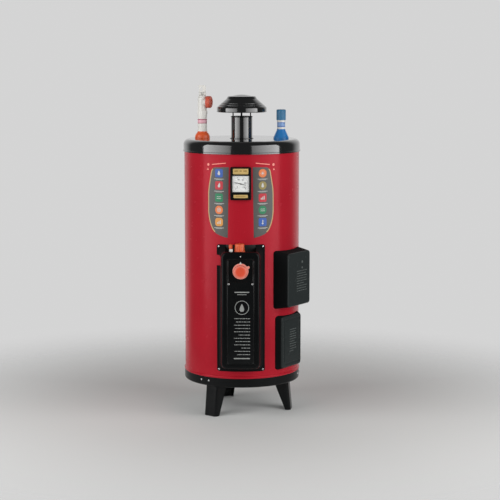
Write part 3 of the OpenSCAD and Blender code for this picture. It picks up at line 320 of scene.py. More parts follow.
def rounded(material, radius):
    """A normal with the edges rounded to a radius."""
    return node(material.node_tree, "Bevel", {"Radius": radius}, samples=BEVEL_SAMPLES).outputs["Normal"]

def relief(material, height, depth, edge):
    """A fine relief on top of edges that are rounded in the shading."""
    sockets = {"Height": height, "Distance": depth, "Strength": 1.0, "Normal": rounded(material, edge)}
    feed(material, "Normal", node(material.node_tree, "Bump", sockets).outputs["Normal"])

def rubbed_edges(material, width):
    """A share that is 1 on sharp edges, broken up by a noise."""
    tree = material.node_tree
    both = {0: rounded(material, width), 1: node(tree, "NewGeometry").outputs["Normal"]}
    same = node(tree, "VectorMath", both, operation="DOT_PRODUCT").outputs["Value"]
    edge = between(material, same, 1.0, 0.0, EDGE_START, EDGE_END)
    rub = between(material, noise(material, RUB_GRAIN, 3.0), 0.0, 1.0, RUB_START, RUB_END)
    return node(tree, "Math", {0: edge, 1: rub}, operation="MULTIPLY").outputs["Value"]

print("samples of a rounded edge:", BEVEL_SAMPLES)

# %% [markdown]
# ## Enamel
# Jacket, base ring, legs and hood are sheet steel, sprayed and baked. Such a coat is glossy, but it
# isn't a mirror: it dries with a faint ripple that is called orange peel, about 3 mm from crest to
# crest. Lid and covers are moulded in black with the same gloss. Foot and sides of the covers are
# grained in the mould, so they stay dark beside the face: the roughness grows with the depth behind it.

# %% Enamel
DRIFT_GRAIN, DRIFT = 180 * MM, 0.06
HAZE_GRAIN, HAZE_LOW, HAZE_HIGH = 25 * MM, -0.03, 0.04
PEEL_GRAIN, PEEL_DEPTH = mm(3, 0.009)
PLAIN_EDGE, RUB_WIDTH = mm(0.7, 0.5)
MOULD_GRAIN = 0.7

def face_share(material, out, foot, face):
    """A share that grows from 0 at a cover's foot to 1 at its face, along its own direction out."""
    both = {0: coordinates(material), 1: out}
    along = node(material.node_tree, "VectorMath", both, operation="DOT_PRODUCT").outputs["Value"]
    return between(material, along, 0.0, 1.0, foot, face)

def enamel(name, colour, gloss, specular, rub=None, edge=PLAIN_EDGE, cover=None, tone=None, **sockets):
    """A baked coat with orange peel. A cover has its out, foot and face, and a tone on its face, which on
    the side covers is a painted sheen.
    """
    paint = finish(name, Specular_IOR_Level=specular, **sockets)
    drift = between(paint, noise(paint, DRIFT_GRAIN), 0.0, 1.0)
    coat = tones(paint, drift, shade(colour, 1 - DRIFT), shade(colour, 1 + DRIFT))
    rough = between(paint, noise(paint, HAZE_GRAIN, 4.0), gloss + HAZE_LOW, gloss + HAZE_HIGH)
    if cover:
        share = face_share(paint, *cover)
        coat = tones(paint, share, coat, tone or colour)
        dull = between(paint, share, MOULD_GRAIN, 0.0, 0.0, 1.0)
        rough = node(paint.node_tree, "Math", {0: rough, 1: dull}, operation="ADD").outputs["Value"]
    if rub:
        coat = tones(paint, rubbed_edges(paint, RUB_WIDTH), coat, rub)
    feed(paint, "Base Color", coat)
    feed(paint, "Roughness", rough)
    relief(paint, noise(paint, PEEL_GRAIN, 1.0), PEEL_DEPTH, edge)

print("orange peel in mm:", PEEL_GRAIN / MM)

# %% [markdown]
# ## Red and black coats
# The lid, the collar and the hood were polished, so they have a second, clear coat that mirrors the soft
# boxes. The covers are duller, but their edges are rounder. The highlight of the red coat is tinted,
# which keeps the jacket from looking milky. The faces of the side covers are painted greyer than the
# rest: a painted sheen, as they are turned towards the right soft box.

# %% Red and black coats
RED, RED_SHEEN = srgb(172, 30, 44), (1.0, 0.22, 0.26, 1.0)
BLACK, RUBBED, FACE_SHEEN_GREY = srgb(10, 12, 13), srgb(44, 48, 48), srgb(40, 45, 45)
SHEET_EDGE, LID_EDGE, COVER_EDGE = mm(1.5, 1.2, 2.5)
COVER_FOOT, COVER_FACE = mm(252, 276)
SIDE_AZIMUTH = 57
SIDE_FOOT_DEPTH, SIDE_FACE_DEPTH = mm(6, 2)

enamel("red_enamel", RED, 0.24, 0.35, Specular_Tint=RED_SHEEN)
enamel("black_enamel", BLACK, 0.22, 0.18, RUBBED, SHEET_EDGE)
enamel("black_gloss", BLACK, 0.20, 0.34, RUBBED, COVER_EDGE)
enamel("cover_black", BLACK, 0.20, 0.18, RUBBED, COVER_EDGE, (FRONT, COVER_FOOT, COVER_FACE))
enamel("polished_black", BLACK, 0.10, 0.8, RUBBED, LID_EDGE,
       Coat_Weight=0.8, Coat_Roughness=0.05, Coat_IOR=1.6)

side_out = facing(SIDE_AZIMUTH) @ FRONT
# Each side cover's face gets a painted sheen: a greyer tone than its walls, as it faces the right soft
# box.
for name in ("side_cover_upper", "side_cover_lower"):
    face = reach(name, side_out)
    depths = (side_out, face - SIDE_FOOT_DEPTH, face - SIDE_FACE_DEPTH)
    enamel(name + "_black", BLACK, 0.24, 0.16, RUBBED, COVER_EDGE, depths, FACE_SHEEN_GREY)
    print(name, "face in mm:", round(face / MM, 1))
print("enamels:", sorted(finishes))

# %% [markdown]
# ## Plastics
# Knobs, caps, bells and sleeves are moulded. A moulded skin has a fine even grain from the tool, a
# softer gloss than enamel, and a slightly cloudy colour, because the dye isn't spread evenly.

# %% Plastic finishes
CLOUD_GRAIN, SKIN_GRAIN = mm(30, 4)
SKIN_SPREAD = (-0.05, 0.06)
TOOL_GRAIN, TOOL_DEPTH, MOULD_EDGE = mm(0.7, 0.02, 0.5)
WHITE = srgb(226, 224, 218)

def plastic(name, colour, gloss, cloud=0.08):
    """A moulded plastic: a cloudy dye and the fine grain of the mould."""
    skin = finish(name, Specular_IOR_Level=0.45)
    dye = between(skin, noise(skin, CLOUD_GRAIN, 3.0), 0.0, 1.0)
    feed(skin, "Base Color", tones(skin, dye, shade(colour, 1 - cloud), shade(colour, 1 + cloud)))
    uneven(skin, noise(skin, SKIN_GRAIN), gloss, SKIN_SPREAD)
    relief(skin, noise(skin, TOOL_GRAIN, 1.0), TOOL_DEPTH, MOULD_EDGE)
    return skin

plastic("black_plastic", srgb(24, 26, 27), 0.42)
plastic("white_plastic", WHITE, 0.35, 0.03)
plastic("orange_plastic", srgb(226, 96, 50), 0.34)
plastic("blue_plastic", srgb(40, 122, 190), 0.34)
plastic("teal_plastic", srgb(46, 112, 152), 0.36)
plastic("cap_red", srgb(206, 88, 64), 0.34)
plastic("dial_white", srgb(244, 244, 242), 0.5, 0.02)
plastic("needle_black", srgb(20, 20, 21), 0.45)
plastic("gasket_rubber", srgb(30, 30, 31), 0.75)
print("plastics:", [name for name in finishes if "plastic" in name])

# %% [markdown]
# ## Metals
# Rolled and drawn metal keeps fine lines from the rollers, so its noise is stretched along one axis.
# A casting has no lines, but a sandy relief. Most of these pieces are inside the heater.

# %% Metal finishes
TARNISH_GRAIN, TARNISH_DARK, TARNISH_LIGHT = 40 * MM, 0.85, 1.05
STREAK_SPREAD = (-0.07, 0.10)
METAL_EDGE = 0.4 * MM
UPRIGHT_LINES, LEVEL_LINES = (1, 1, 0.04), (0.05, 1, 1)

def metal(name, colour, gloss, lines=(1, 1, 1), grain=1.5, depth=0.01, share=1.0):
    """A bare metal: streaks along one axis, or a sandy skin. Grain and depth are in millimetres."""
    bare = finish(name, Metallic=share)
    tarnish = between(bare, noise(bare, TARNISH_GRAIN, 4.0), 0.0, 1.0)
    dark, light = shade(colour, TARNISH_DARK), shade(colour, TARNISH_LIGHT)
    feed(bare, "Base Color", tones(bare, tarnish, dark, light))
    streak = noise(bare, grain * MM, 3.0, lines)
    uneven(bare, streak, gloss, STREAK_SPREAD)
    relief(bare, streak, depth * MM, METAL_EDGE)

metal("bright_steel", srgb(205, 206, 206), 0.24, UPRIGHT_LINES)
metal("zinc_steel", srgb(172, 176, 180), 0.40, grain=6)
metal("burner_iron", srgb(70, 68, 66), 0.62, grain=1.0, depth=0.08)
metal("bright_aluminium", srgb(214, 215, 217), 0.30, UPRIGHT_LINES)
metal("brass", srgb(198, 158, 84), 0.30, UPRIGHT_LINES)
metal("anode_metal", srgb(168, 168, 166), 0.58, grain=3, depth=0.05)
metal("cast_alloy", srgb(176, 178, 180), 0.48, grain=0.9, depth=0.05)
print("finishes so far:", len(finishes))

# %% [markdown]
# ## The odd ones
# The tank is steel with a dark blue glass lining. The wool round it is a mat of fibres. The relief
# valve's body is a casting with a white coat, and the gauge has a clear window. The window is made
# with Alpha and not with glass, because a flat pane doesn't bend what is behind it.

# %% Lining, wool, coated casting and window
FIBRE_GRAIN, FIBRE_DEPTH, WOOL_EDGE = mm(2, 1.2, 1)
FIBRE_LINES = (1, 1, 4)
WOOL_DARK, WOOL_LIGHT = srgb(172, 140, 62), srgb(222, 196, 120)
PANE_GRAIN, PANE_SMOOTH, PANE_SMEARED = 20 * MM, 0.03, 0.09

enamel("tank_steel", srgb(52, 76, 104), 0.4, 0.5)
enamel("white_metal", WHITE, 0.3, 0.5, srgb(190, 186, 176))

wool = finish("mineral_wool", Roughness=0.95, Specular_IOR_Level=0.1, Sheen_Weight=0.3)
fibres = noise(wool, FIBRE_GRAIN, 5.0, FIBRE_LINES)
feed(wool, "Base Color", tones(wool, between(wool, fibres, 0.0, 1.0), WOOL_DARK, WOOL_LIGHT))
relief(wool, fibres, FIBRE_DEPTH, WOOL_EDGE)

pane = finish("clear_window", Base_Color=srgb(240, 244, 244), Alpha=0.10, Specular_IOR_Level=0.5)
feed(pane, "Roughness", between(pane, noise(pane, PANE_GRAIN, 3.0), PANE_SMOOTH, PANE_SMEARED))
print("finishes so far:", len(finishes))

# %% [markdown]
# ## Rings on the sleeves
# The white sleeves carry printed rings in red or in blue, so that hot and cold can't be mixed up. A ring
# is a band of Object z in the sleeve's colour, so it can't stand proud, and a wide pale band with narrow
# dark ones on top gives the whole print.

# %% Printed sleeves
CRIMSON, PINK = srgb(168, 62, 92), srgb(232, 178, 190)
NAVY, SKY = srgb(44, 84, 166), srgb(150, 184, 226)
HOT_RINGS = [(31, 48, PINK), (31, 33.5, CRIMSON), (44.5, 48, CRIMSON)]
COLD_RINGS = [(8, 27, SKY), (8, 11, NAVY), (14.5, 16.5, NAVY), (19.5, 21.5, NAVY), (25, 27, NAVY)]

def printed_sleeve(name, rings):
    """White plastic with printed rings, each from a height to a height in mm above the node's foot."""
    skin = plastic(name + "_print", WHITE, 0.35, 0.03)
    tree = skin.node_tree
    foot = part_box(name)[0].z
    colour = colour_of(skin)
    z = node(tree, "SeparateXYZ", {0: coordinates(skin)}).outputs["Z"]
    for low, high, ring_colour in rings:
        band = {0: z, 1: foot + (low + high) / 2 * MM, 2: (high - low) / 2 * MM}
        inside = node(tree, "Math", band, operation="COMPARE").outputs["Value"]
        colour = tones(skin, inside, colour, ring_colour)
    feed(skin, "Base Color", colour)
    print(name, "foot in mm:", round(foot / MM))

printed_sleeve("hot_sleeve", HOT_RINGS)
printed_sleeve("cold_sleeve", COLD_RINGS)

# %% [markdown]
# ## Pale rim of the temperature knob
# The knob is darker in the middle and paler towards its rim: a change of colour with the distance
# from the knob's own axis.

# %% Temperature knob
KNOB_RADIUS, RIM_START, RIM_END = mm(30, 15, 29)
KNOB_MIDDLE, KNOB_RIM = srgb(224, 84, 56), srgb(240, 158, 142)

knob_z = reach("temp_dial", UP) - KNOB_RADIUS
knob = plastic("temperature_knob", KNOB_MIDDLE, 0.32)
tree = knob.node_tree
place = node(tree, "TexCoord").outputs["Object"]
from_axis = {"Vector": place, "Location": (0, 0, -knob_z), "Scale": (1, 0, 1)}
moved = node(tree, "Mapping", from_axis).outputs["Vector"]
radius = node(tree, "VectorMath", {0: moved}, operation="LENGTH").outputs["Value"]
share = between(knob, radius, 0.0, 1.0, RIM_START, RIM_END)
feed(knob, "Base Color", tones(knob, share, colour_of(knob), KNOB_RIM))
print("knob's axis in mm:", round(knob_z / MM, 1))

# %% [markdown]
# ## Putting the finishes on
# The imported record names a material slot for every node, so one loop dresses all of them. Only the
# printed, polished and two-tone pieces have a finish of their own; the side covers' second tone is a
# painted sheen.

# %% Dress every CAD node
OWN_FINISH = {
    "hot_sleeve": "hot_sleeve_print", "cold_sleeve": "cold_sleeve_print",
    "cold_cap": "teal_plastic", "outlet_cap": "cap_red", "relief_stem": "white_metal",
    "front_cover": "cover_black", "temp_dial": "temperature_knob",
    "side_cover_upper": "side_cover_upper_black", "side_cover_lower": "side_cover_lower_black",
    "top_cover": "polished_black", "flue_collar": "polished_black", "draft_hood": "polished_black",
}

for part in frame["record"]["subparts"]:
    name = part["node"]
    mesh = nodes[name].data
    mesh.materials.clear()
    mesh.materials.append(finishes[OWN_FINISH.get(name, part["material_slot"])])

# %% [markdown]
# ## Flat shapes
# A print is cut from thin film. Each one is drawn flat, as if on the front: x to the right, z up. A
# circle of 28 sides is round enough at this size, a card gets round corners from a bevel of its
# vertices, and a drop is a disc of which the upper half is drawn out.

# %% Flat shapes
ROUND_SIDES, SMALL_SIDES, TRIANGLE = 28, 20, 3
CORNER_STEPS = 5
DROP_LOW, DROP_RADIUS, DROP_RISE, DROP_SIDES = 0.25, 0.55, 0.75, 24

def disc(bm, x, z, radius, sides=ROUND_SIDES, turn=0.0):
    """A round face; three sides make a triangle, which a turn of 180 degrees sets on its tip."""
    spot = Matrix.Translation((x, 0, z)) @ Matrix.Rotation(math.radians(turn), 4, "Y") @ UPRIGHT
    made = bmesh.ops.create_circle(bm, cap_ends=True, segments=sides, radius=radius, matrix=spot)
    return made["verts"][0].link_faces[0]

def round_off(bm, geom, radius, steps, affect="EDGES", **more):
    """Rounds edges, or the corners of a flat shape, with a bevel."""
    bmesh.ops.bevel(bm, geom=geom, offset=radius, offset_type="OFFSET", segments=steps, profile=0.5,
                    affect=affect, material=-1, **more)

def card(bm, x, z, width, height, corner=0.0, turn=0.0):
    """A rectangle with round corners, turned by degrees to the left."""
    spot = (Matrix.Translation((x, 0, z)) @ Matrix.Rotation(math.radians(-turn), 4, "Y") @ UPRIGHT
            @ Matrix.Diagonal((width, height, 1, 1)))
    made = bmesh.ops.create_grid(bm, x_segments=1, y_segments=1, size=0.5, matrix=spot)
    if corner:
        corners = made["verts"][0].link_faces[0].verts[:]
        round_off(bm, corners, corner, CORNER_STEPS, affect="VERTICES")

def hoop(bm, x, z, radius, width, sides=ROUND_SIDES):
    """A flat ring: a disc, inset, without its middle."""
    face = disc(bm, x, z, radius, sides)
    bmesh.ops.inset_individual(bm, faces=[face], thickness=width, use_even_offset=True)
    bmesh.ops.delete(bm, geom=[face], context="FACES_ONLY")

def drop(bm, x, z, size, lean=0.0):
    """A water drop, or a flame where it leans: a disc of which the top is drawn out."""
    face = disc(bm, x, z - DROP_LOW * size, DROP_RADIUS * size, DROP_SIDES)
    top = max(v.co.z for v in face.verts)
    for vert in face.verts:
        lift = max(0.0, (vert.co.z - z) / (top - z))
        vert.co += Vector((lean * size * lift, 0, DROP_RISE * size * lift * lift))

print("flat shapes: disc, card, hoop and drop")

# %% [markdown]
# ## Thickness and bend
# A flat print gets its thickness towards -y, and either is set down on a flat cover or is bent round
# the jacket. For the bend the film is first cut into narrow strips, as a long straight edge can't
# follow a curve between its two ends. Prints lie in layers, each just clear of the one below.

# %% Thickness and bend
FILM, STRIP = mm(0.10, 4)
ON_JACKET, ON_PANEL, ON_FIELD = mm(0.05, 0.17, 0.29)
CUT_REACH = 1e-8

def new_verts(made):
    """The vertices among what an operator made."""
    return [g for g in made["geom"] if isinstance(g, bmesh.types.BMVert)]

def thicken(bm, base, thickness=FILM):
    """Moves a print forward by a base and gives it a thickness."""
    bmesh.ops.translate(bm, verts=bm.verts, vec=FRONT * base)
    front = new_verts(bmesh.ops.extrude_face_region(bm, geom=bm.faces[:]))
    bmesh.ops.translate(bm, verts=front, vec=FRONT * thickness)

def wrap(bm, base, thickness=FILM):
    """Cuts a print into strips, thickens it and bends it round the jacket."""
    low, high = (pick(v.co.x for v in bm.verts) for pick in (min, max))
    for k in range(math.ceil(low / STRIP), math.floor(high / STRIP) + 1):
        bmesh.ops.bisect_plane(bm, geom=bm.verts[:] + bm.edges[:] + bm.faces[:], dist=CUT_REACH,
                               plane_co=(k * STRIP, 0, 0), plane_no=(1, 0, 0))
    thicken(bm, base, thickness)
    for vert in bm.verts:
        turn = vert.co.x / jacket_radius
        out = jacket_radius - vert.co.y
        vert.co = (out * math.sin(turn), -out * math.cos(turn), vert.co.z)

print("film thickness in mm:", FILM / MM)

# %% [markdown]
# ## Pieces and inks
# A finished bmesh becomes an object that sits at the origin, with its place in its mesh, and rides on
# one body of the heater. A screen print is even, but never quite, so an ink has a fine drift of tone.

# %% Pieces and inks
WELD = 1e-7
INK_GRAIN, INK_SKIN = mm(5, 2)
INK_THIN, INK_FULL, INK_SPREAD = 0.93, 1.05, (-0.05, 0.05)

def piece(name, bm, coats, body="heater", replaced=None):
    """Makes a piece of a bmesh, with its coats by name, and lets it ride on a body."""
    bmesh.ops.remove_doubles(bm, verts=bm.verts, dist=WELD)
    bmesh.ops.recalc_face_normals(bm, faces=bm.faces)
    mesh = bpy.data.meshes.new(name)
    bm.to_mesh(mesh)
    bm.free()
    for coat in coats:
        mesh.materials.append(finishes[coat])
    made = bpy.data.objects.new(name, mesh)
    scene.collection.objects.link(made)
    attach(made, body)
    if replaced:
        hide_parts(replaced)
    print(name, "faces:", len(mesh.polygons))

def ink(name, colour, gloss=0.4):
    """A printed colour."""
    film = finish(name, Specular_IOR_Level=0.4)
    spread = between(film, noise(film, INK_GRAIN, 3.0), 0.0, 1.0)
    feed(film, "Base Color", tones(film, spread, shade(colour, INK_THIN), shade(colour, INK_FULL)))
    uneven(film, noise(film, INK_SKIN), gloss, INK_SPREAD)

ink("pale_ink", srgb(205, 206, 202))
print("finishes with the first ink:", len(finishes))

# %% [markdown]
# ## Seam of the jacket
# The jacket is one sheet, rolled round and joined at the back with a folded seam. The fold lies flat: a
# strip, 12 mm wide, that stands out by half a millimetre from the bead at the foot up to the lid. It is
# made like a thick print and turned to the back, and a bevel rounds the two folds.

# %% Folded seam at the back
SEAM_WIDTH, SEAM_RISE, SEAM_FOLD = mm(12, 0.5, 0.2)
SEAM_OVER_FOOT, SEAM_UNDER_LID = mm(14, 0.5)
FOLD_STEPS = 3

seam_low = jacket_low.z + SEAM_OVER_FOOT
seam_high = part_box("top_cover")[0].z - SEAM_UNDER_LID
seam = bmesh.new()
card(seam, 0, (seam_low + seam_high) / 2, SEAM_WIDTH, seam_high - seam_low)
wrap(seam, ON_JACKET, SEAM_RISE)
raised = [v for v in seam.verts if abs(v.co.x) > 0.49 * SEAM_WIDTH
          and v.co.xy.length - jacket_radius > 0.5 * SEAM_RISE]
folds = [e for e in seam.edges if all(v in raised for v in e.verts)]
round_off(seam, folds, SEAM_FOLD, FOLD_STEPS)
bmesh.ops.transform(seam, matrix=facing(180), verts=seam.verts)
piece("jacket_seam", seam, ["red_enamel"])

# %% [markdown]
# ## Printed panels on the jacket
# Two grey panels stand left and right of the gauge. Their outer side swells like a lyre, and a gold line
# follows it, but leaves out the tail. One outline gives both: the corners are rounded with a vertex
# bevel, the face is inset by the width of the line, and the strips along the outer side become gold.

# %% Grey panels with their gold line
PANEL_CORNERS = [(45.5, 978), (115.6, 976), (131.5, 890), (132, 796),
                 (122, 755), (105, 726), (67, 711), (50, 708.5)]
PANEL_ROUND, PANEL_OUTER = mm(17, 60)
PANEL_STEPS = 6
GOLD_LINE, GOLD_INNER, GOLD_LOW, GOLD_HIGH = mm(3.9, 56, 729, 971)

ink("grey_ink", srgb(78, 78, 75), 0.35)
ink("gold_ink", srgb(194, 162, 106), 0.3)

def side_panel(name, side):
    """One grey panel: side is 1 for the right and -1 for the left."""
    bm = bmesh.new()
    face = bm.faces.new([bm.verts.new(mm(x, 0, z)) for x, z in PANEL_CORNERS])
    outer = [v for v in face.verts if v.co.x > PANEL_OUTER]
    round_off(bm, outer, PANEL_ROUND, PANEL_STEPS, affect="VERTICES", clamp_overlap=True)
    bm.faces.ensure_lookup_table()
    rim = bmesh.ops.inset_region(bm, faces=bm.faces[:], thickness=GOLD_LINE, use_even_offset=True,
                                 use_boundary=True)["faces"]
    for strip in rim:
        middle = strip.calc_center_median()
        strip.material_index = int(middle.x > GOLD_INNER and GOLD_LOW < middle.z < GOLD_HIGH)
    bmesh.ops.scale(bm, verts=bm.verts, vec=(side, 1, 1))
    wrap(bm, ON_JACKET)
    piece(name, bm, ["grey_ink", "gold_ink"])

side_panel("print_panel_left", -1)
side_panel("print_panel_right", 1)

# %% [markdown]
# ## Signs for the badges
# Each badge has a plain sign: a drop, a flame, ripples, a ring, bars, a sun or a thermometer. A small
# function draws each one, and all its sizes are shares of the sign's own size, so one number scales it.

# %% Signs
FLAME_LEAN = 0.28
BAR_HEIGHTS, BAR_STEP, BAR_WIDTH = (0.7, 1.1, 1.5), 0.62, 0.36
SUN_RADIUS, RAYS, RAY_REACH, RAY_WIDTH, RAY_LENGTH = 0.42, 8, 0.78, 0.13, 0.34
RIPPLE_ROWS, STROKES, STROKE_STEP, STROKE_LEAN = (-0.35, 0.35), 5, 0.36, 30
STROKE_LENGTH, STROKE_WIDTH = 0.44, 0.17
RING_RADIUS, RING_WIDTH, RING_DOT = 0.85, 0.2, 0.34
BULB_RADIUS, BULB_DROP, STEM_RISE, STEM_WIDTH, STEM_LENGTH = 0.36, 0.55, 0.25, 0.26, 1.3
TICK_RISES, TICK_OUT, TICK_LENGTH, TICK_WIDTH = (0.2, 0.6), 0.42, 0.3, 0.12

def flame(bm, x, z, size):
    """A drop that leans to one side."""
    drop(bm, x, z, size, FLAME_LEAN)

def bars(bm, x, z, size):
    """Three upright bars of growing height on one line."""
    for k, share in enumerate(BAR_HEIGHTS):
        middle = z + (share - BAR_HEIGHTS[-1]) * size / 2
        card(bm, x + (k - 1) * BAR_STEP * size, middle, BAR_WIDTH * size, share * size)

def sun(bm, x, z, size):
    """A disc with eight rays."""
    disc(bm, x, z, SUN_RADIUS * size, SMALL_SIDES)
    for k in range(RAYS):
        turn = 360 / RAYS * k
        out = facing(turn) @ FRONT * RAY_REACH * size
        card(bm, x + out.x, z - out.y, RAY_WIDTH * size, RAY_LENGTH * size, turn=-turn)

def ripples(bm, x, z, size):
    """Two waves, each of five short leaning strokes."""
    for row in RIPPLE_ROWS:
        for k in range(STROKES):
            card(bm, x + (k - STROKES // 2) * STROKE_STEP * size, z + row * size,
                 STROKE_LENGTH * size, STROKE_WIDTH * size, turn=STROKE_LEAN * (-1) ** k)

def rings(bm, x, z, size):
    """A ring round a dot."""
    hoop(bm, x, z, RING_RADIUS * size, RING_WIDTH * size)
    disc(bm, x, z, RING_DOT * size, SMALL_SIDES)

def rod(bm, x, z, size):
    """A thermometer: a bulb with a stem and two marks."""
    disc(bm, x, z - BULB_DROP * size, BULB_RADIUS * size, SMALL_SIDES)
    card(bm, x, z + STEM_RISE * size, STEM_WIDTH * size, STEM_LENGTH * size)
    for rise in TICK_RISES:
        card(bm, x + TICK_OUT * size, z + rise * size, TICK_LENGTH * size, TICK_WIDTH * size)

print("signs:", [sign.__name__ for sign in (drop, flame, bars, sun, ripples, rings, rod)])

# %% [markdown]
# ## Badges
# On each panel five small coloured fields sit one below the other, with two thin rules under each. The
# fields of a panel are one piece with five inks, because they are printed in one go, and so are the
# signs and the rules.

# %% Badge fields, signs and rules
BADGE_ARC, BADGE_SIZE, BADGE_TOP, BADGE_STEP = mm(85, 32, 954.5, 46.6)
SIGN_SIZE = 0.3 * BADGE_SIZE
RULES = [mm(22, 40, 1.6), mm(25, 26, 1.1)]
SQUARE, SOFT, ROUND = mm(6, 10, 15)
BLUE_FIELD, RED_FIELD, GREEN_FIELD = srgb(48, 92, 176), srgb(196, 36, 52), srgb(24, 128, 84)
ORANGE_FIELD, AMBER_FIELD, OLIVE_FIELD = srgb(232, 122, 58), srgb(220, 150, 66), srgb(150, 134, 74)
LEFT_BADGES = [(BLUE_FIELD, SQUARE, drop), (RED_FIELD, SQUARE, flame), (GREEN_FIELD, SQUARE, ripples),
               (ORANGE_FIELD, ROUND, rings), (AMBER_FIELD, SOFT, bars)]
RIGHT_BADGES = [(ORANGE_FIELD, ROUND, sun), (OLIVE_FIELD, ROUND, drop), (RED_FIELD, SQUARE, bars),
                (GREEN_FIELD, ROUND, ripples), (BLUE_FIELD, SQUARE, rod)]

def badges(name, x, column):
    """A column of badges: each has the colour and the corners of its field, and its sign."""
    fields, signs, rules = bmesh.new(), bmesh.new(), bmesh.new()
    inks = ["badge_%s_%d" % (name, k + 1) for k in range(len(column))]
    for k, (colour, corner, sign) in enumerate(column):
        z = BADGE_TOP - k * BADGE_STEP
        known = len(fields.faces)
        card(fields, x, z, BADGE_SIZE, BADGE_SIZE, corner)
        fields.faces.ensure_lookup_table()
        fields.faces[known].material_index = k
        ink(inks[k], colour)
        sign(signs, x, z, SIGN_SIZE)
        for below, width, height in RULES:
            card(rules, x, z - below, width, height)
    wrap(fields, ON_PANEL)
    wrap(signs, ON_FIELD)
    wrap(rules, ON_PANEL)
    piece("badge_fields_" + name, fields, inks)
    piece("badge_signs_" + name, signs, ["pale_ink"])
    piece("badge_rules_" + name, rules, ["pale_ink"])

badges("left", -BADGE_ARC, LEFT_BADGES)
badges("right", BADGE_ARC, RIGHT_BADGES)

# %% [markdown]
# ## Stripes above the panels
# A pale stripe runs over each panel and rises towards the middle, with a dot and a small triangle at its
# outer end. Both sides are one print, so one loop draws them with the sign of x turned.

# %% Stripes, dots and triangles
STRIPE_ARC, STRIPE_Z, STRIPE_LENGTH, STRIPE_WIDTH, STRIPE_CORNER = mm(86, 990, 58, 3.2, 1.5)
STRIPE_LEAN = 6.3
DOT_ARC, DOT_Z, DOT_RADIUS = mm(131, 986, 5)
END_ARC, END_Z, END_RADIUS = mm(133, 968, 5.4)

ink("pink_ink", srgb(246, 152, 138))
stripes = bmesh.new()
for side in (-1, 1):
    card(stripes, side * STRIPE_ARC, STRIPE_Z, STRIPE_LENGTH, STRIPE_WIDTH, STRIPE_CORNER,
         turn=-STRIPE_LEAN * side)
    disc(stripes, side * DOT_ARC, DOT_Z, DOT_RADIUS, SMALL_SIDES)
    disc(stripes, side * END_ARC, END_Z, END_RADIUS, TRIANGLE)
wrap(stripes, ON_JACKET)
piece("print_stripes", stripes, ["pink_ink"])

# %% [markdown]
# ## Scale of the gauge
# The gauge shows the water's temperature. Its dial has a round scale from 0 to 100 over 270 degrees, the
# same travel as the needle's joint, so the needle at rest reads a cool room. The figures come from a
# text curve in Blender's own font, a little bolder, and are made a mesh at once.

# %% Scale on the dial
SCALE_SWEEP, SCALE_END, SCALE_STEP, FIGURE_STEP = 270, 100, 5, 20
LONG_RADIUS, LONG_WIDTH, LONG_LENGTH = mm(26, 1.8, 4.8)
SHORT_RADIUS, SHORT_WIDTH, SHORT_LENGTH = mm(26.8, 0.8, 2.8)
FIGURE_RADIUS, FIGURE_HEIGHT, SCALE_FILM = mm(17.6, 8.4, 0.06)
FIGURE_BOLD = 0.018

dial_low, dial_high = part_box("gauge_dial")
pivot = (dial_low + dial_high) / 2

def figures(bm, words, x, z):
    """Numbers in Blender's own font, as flat faces."""
    curve = bpy.data.curves.new("figures", "FONT")
    curve.body, curve.size, curve.offset = words, FIGURE_HEIGHT, FIGURE_BOLD * FIGURE_HEIGHT
    curve.align_x = curve.align_y = "CENTER"
    holder = bpy.data.objects.new("figures", curve)
    flat = bpy.data.meshes.new_from_object(holder)
    flat.transform(Matrix.Translation((x, 0, z)) @ UPRIGHT)
    bm.from_mesh(flat)
    bpy.data.objects.remove(holder)
    bpy.data.meshes.remove(flat)

def on_scale(radius, angle):
    """A point of the scale: the angle is in degrees from the top, clockwise."""
    turn = math.radians(angle)
    return pivot.x + radius * math.sin(turn), pivot.z + radius * math.cos(turn)

ink("black_ink", srgb(26, 26, 27))
scale = bmesh.new()
for degrees in range(0, SCALE_END + 1, SCALE_STEP):
    angle = SCALE_SWEEP * (degrees / SCALE_END - 0.5)
    if degrees % FIGURE_STEP == 0:
        card(scale, *on_scale(LONG_RADIUS, angle), LONG_WIDTH, LONG_LENGTH, turn=-angle)
        figures(scale, str(degrees), *on_scale(FIGURE_RADIUS, angle))
    else:
        card(scale, *on_scale(SHORT_RADIUS, angle), SHORT_WIDTH, SHORT_LENGTH, turn=-angle)
thicken(scale, reach("gauge_dial", FRONT), SCALE_FILM)
piece("dial_scale", scale, ["black_ink"])

# %% [markdown]
# ## Gold plates of the gauge
# Two gold plates sit above and below the window: stamped, with a rolled edge, which is a bevel on the
# front rim of a thick card. Brown rules on them are one more thin print.

# %% Gold plates on the bezel
PLATES = [mm(963, 58, 21), mm(868.5, 54, 12.5)]
PLATE_CORNER, PLATE_RISE, PLATE_EDGE, RULE_FILM = mm(3, 0.7, 0.4, 0.05)
PLATE_STEPS = 3
PLATE_RULES = [mm(-17, 965, 14, 3.4, 1), mm(0, 965, 8, 3.4, 1), mm(17, 965, 14, 3.4, 1),
               mm(0, 868.5, 36, 1.4, 0)]

metal("gold_plate", srgb(230, 198, 128), 0.30, LEVEL_LINES, share=0.3)
ink("brown_ink", srgb(140, 100, 40))
bezel_front = reach("gauge_bezel", FRONT)

plates = bmesh.new()
for z, width, height in PLATES:
    card(plates, 0, z, width, height, PLATE_CORNER)
thicken(plates, bezel_front, PLATE_RISE)
raised = [v for v in plates.verts if v.co @ FRONT > bezel_front + 0.5 * PLATE_RISE]
front_rim = [e for e in plates.edges if all(v in raised for v in e.verts)]
round_off(plates, front_rim, PLATE_EDGE, PLATE_STEPS)
piece("gauge_plates", plates, ["gold_plate"])

rules = bmesh.new()
for rule in PLATE_RULES:
    card(rules, *rule)
thicken(rules, bezel_front + PLATE_RISE, RULE_FILM)
piece("gauge_plate_rules", rules, ["brown_ink"])

# %% [markdown]
# ## Mark on the front cover
# Above the well of the temperature knob is a small white triangle, set on its tip: the mark that the
# knob is read against. It is a disc with three sides, at a height above the knob's axis.

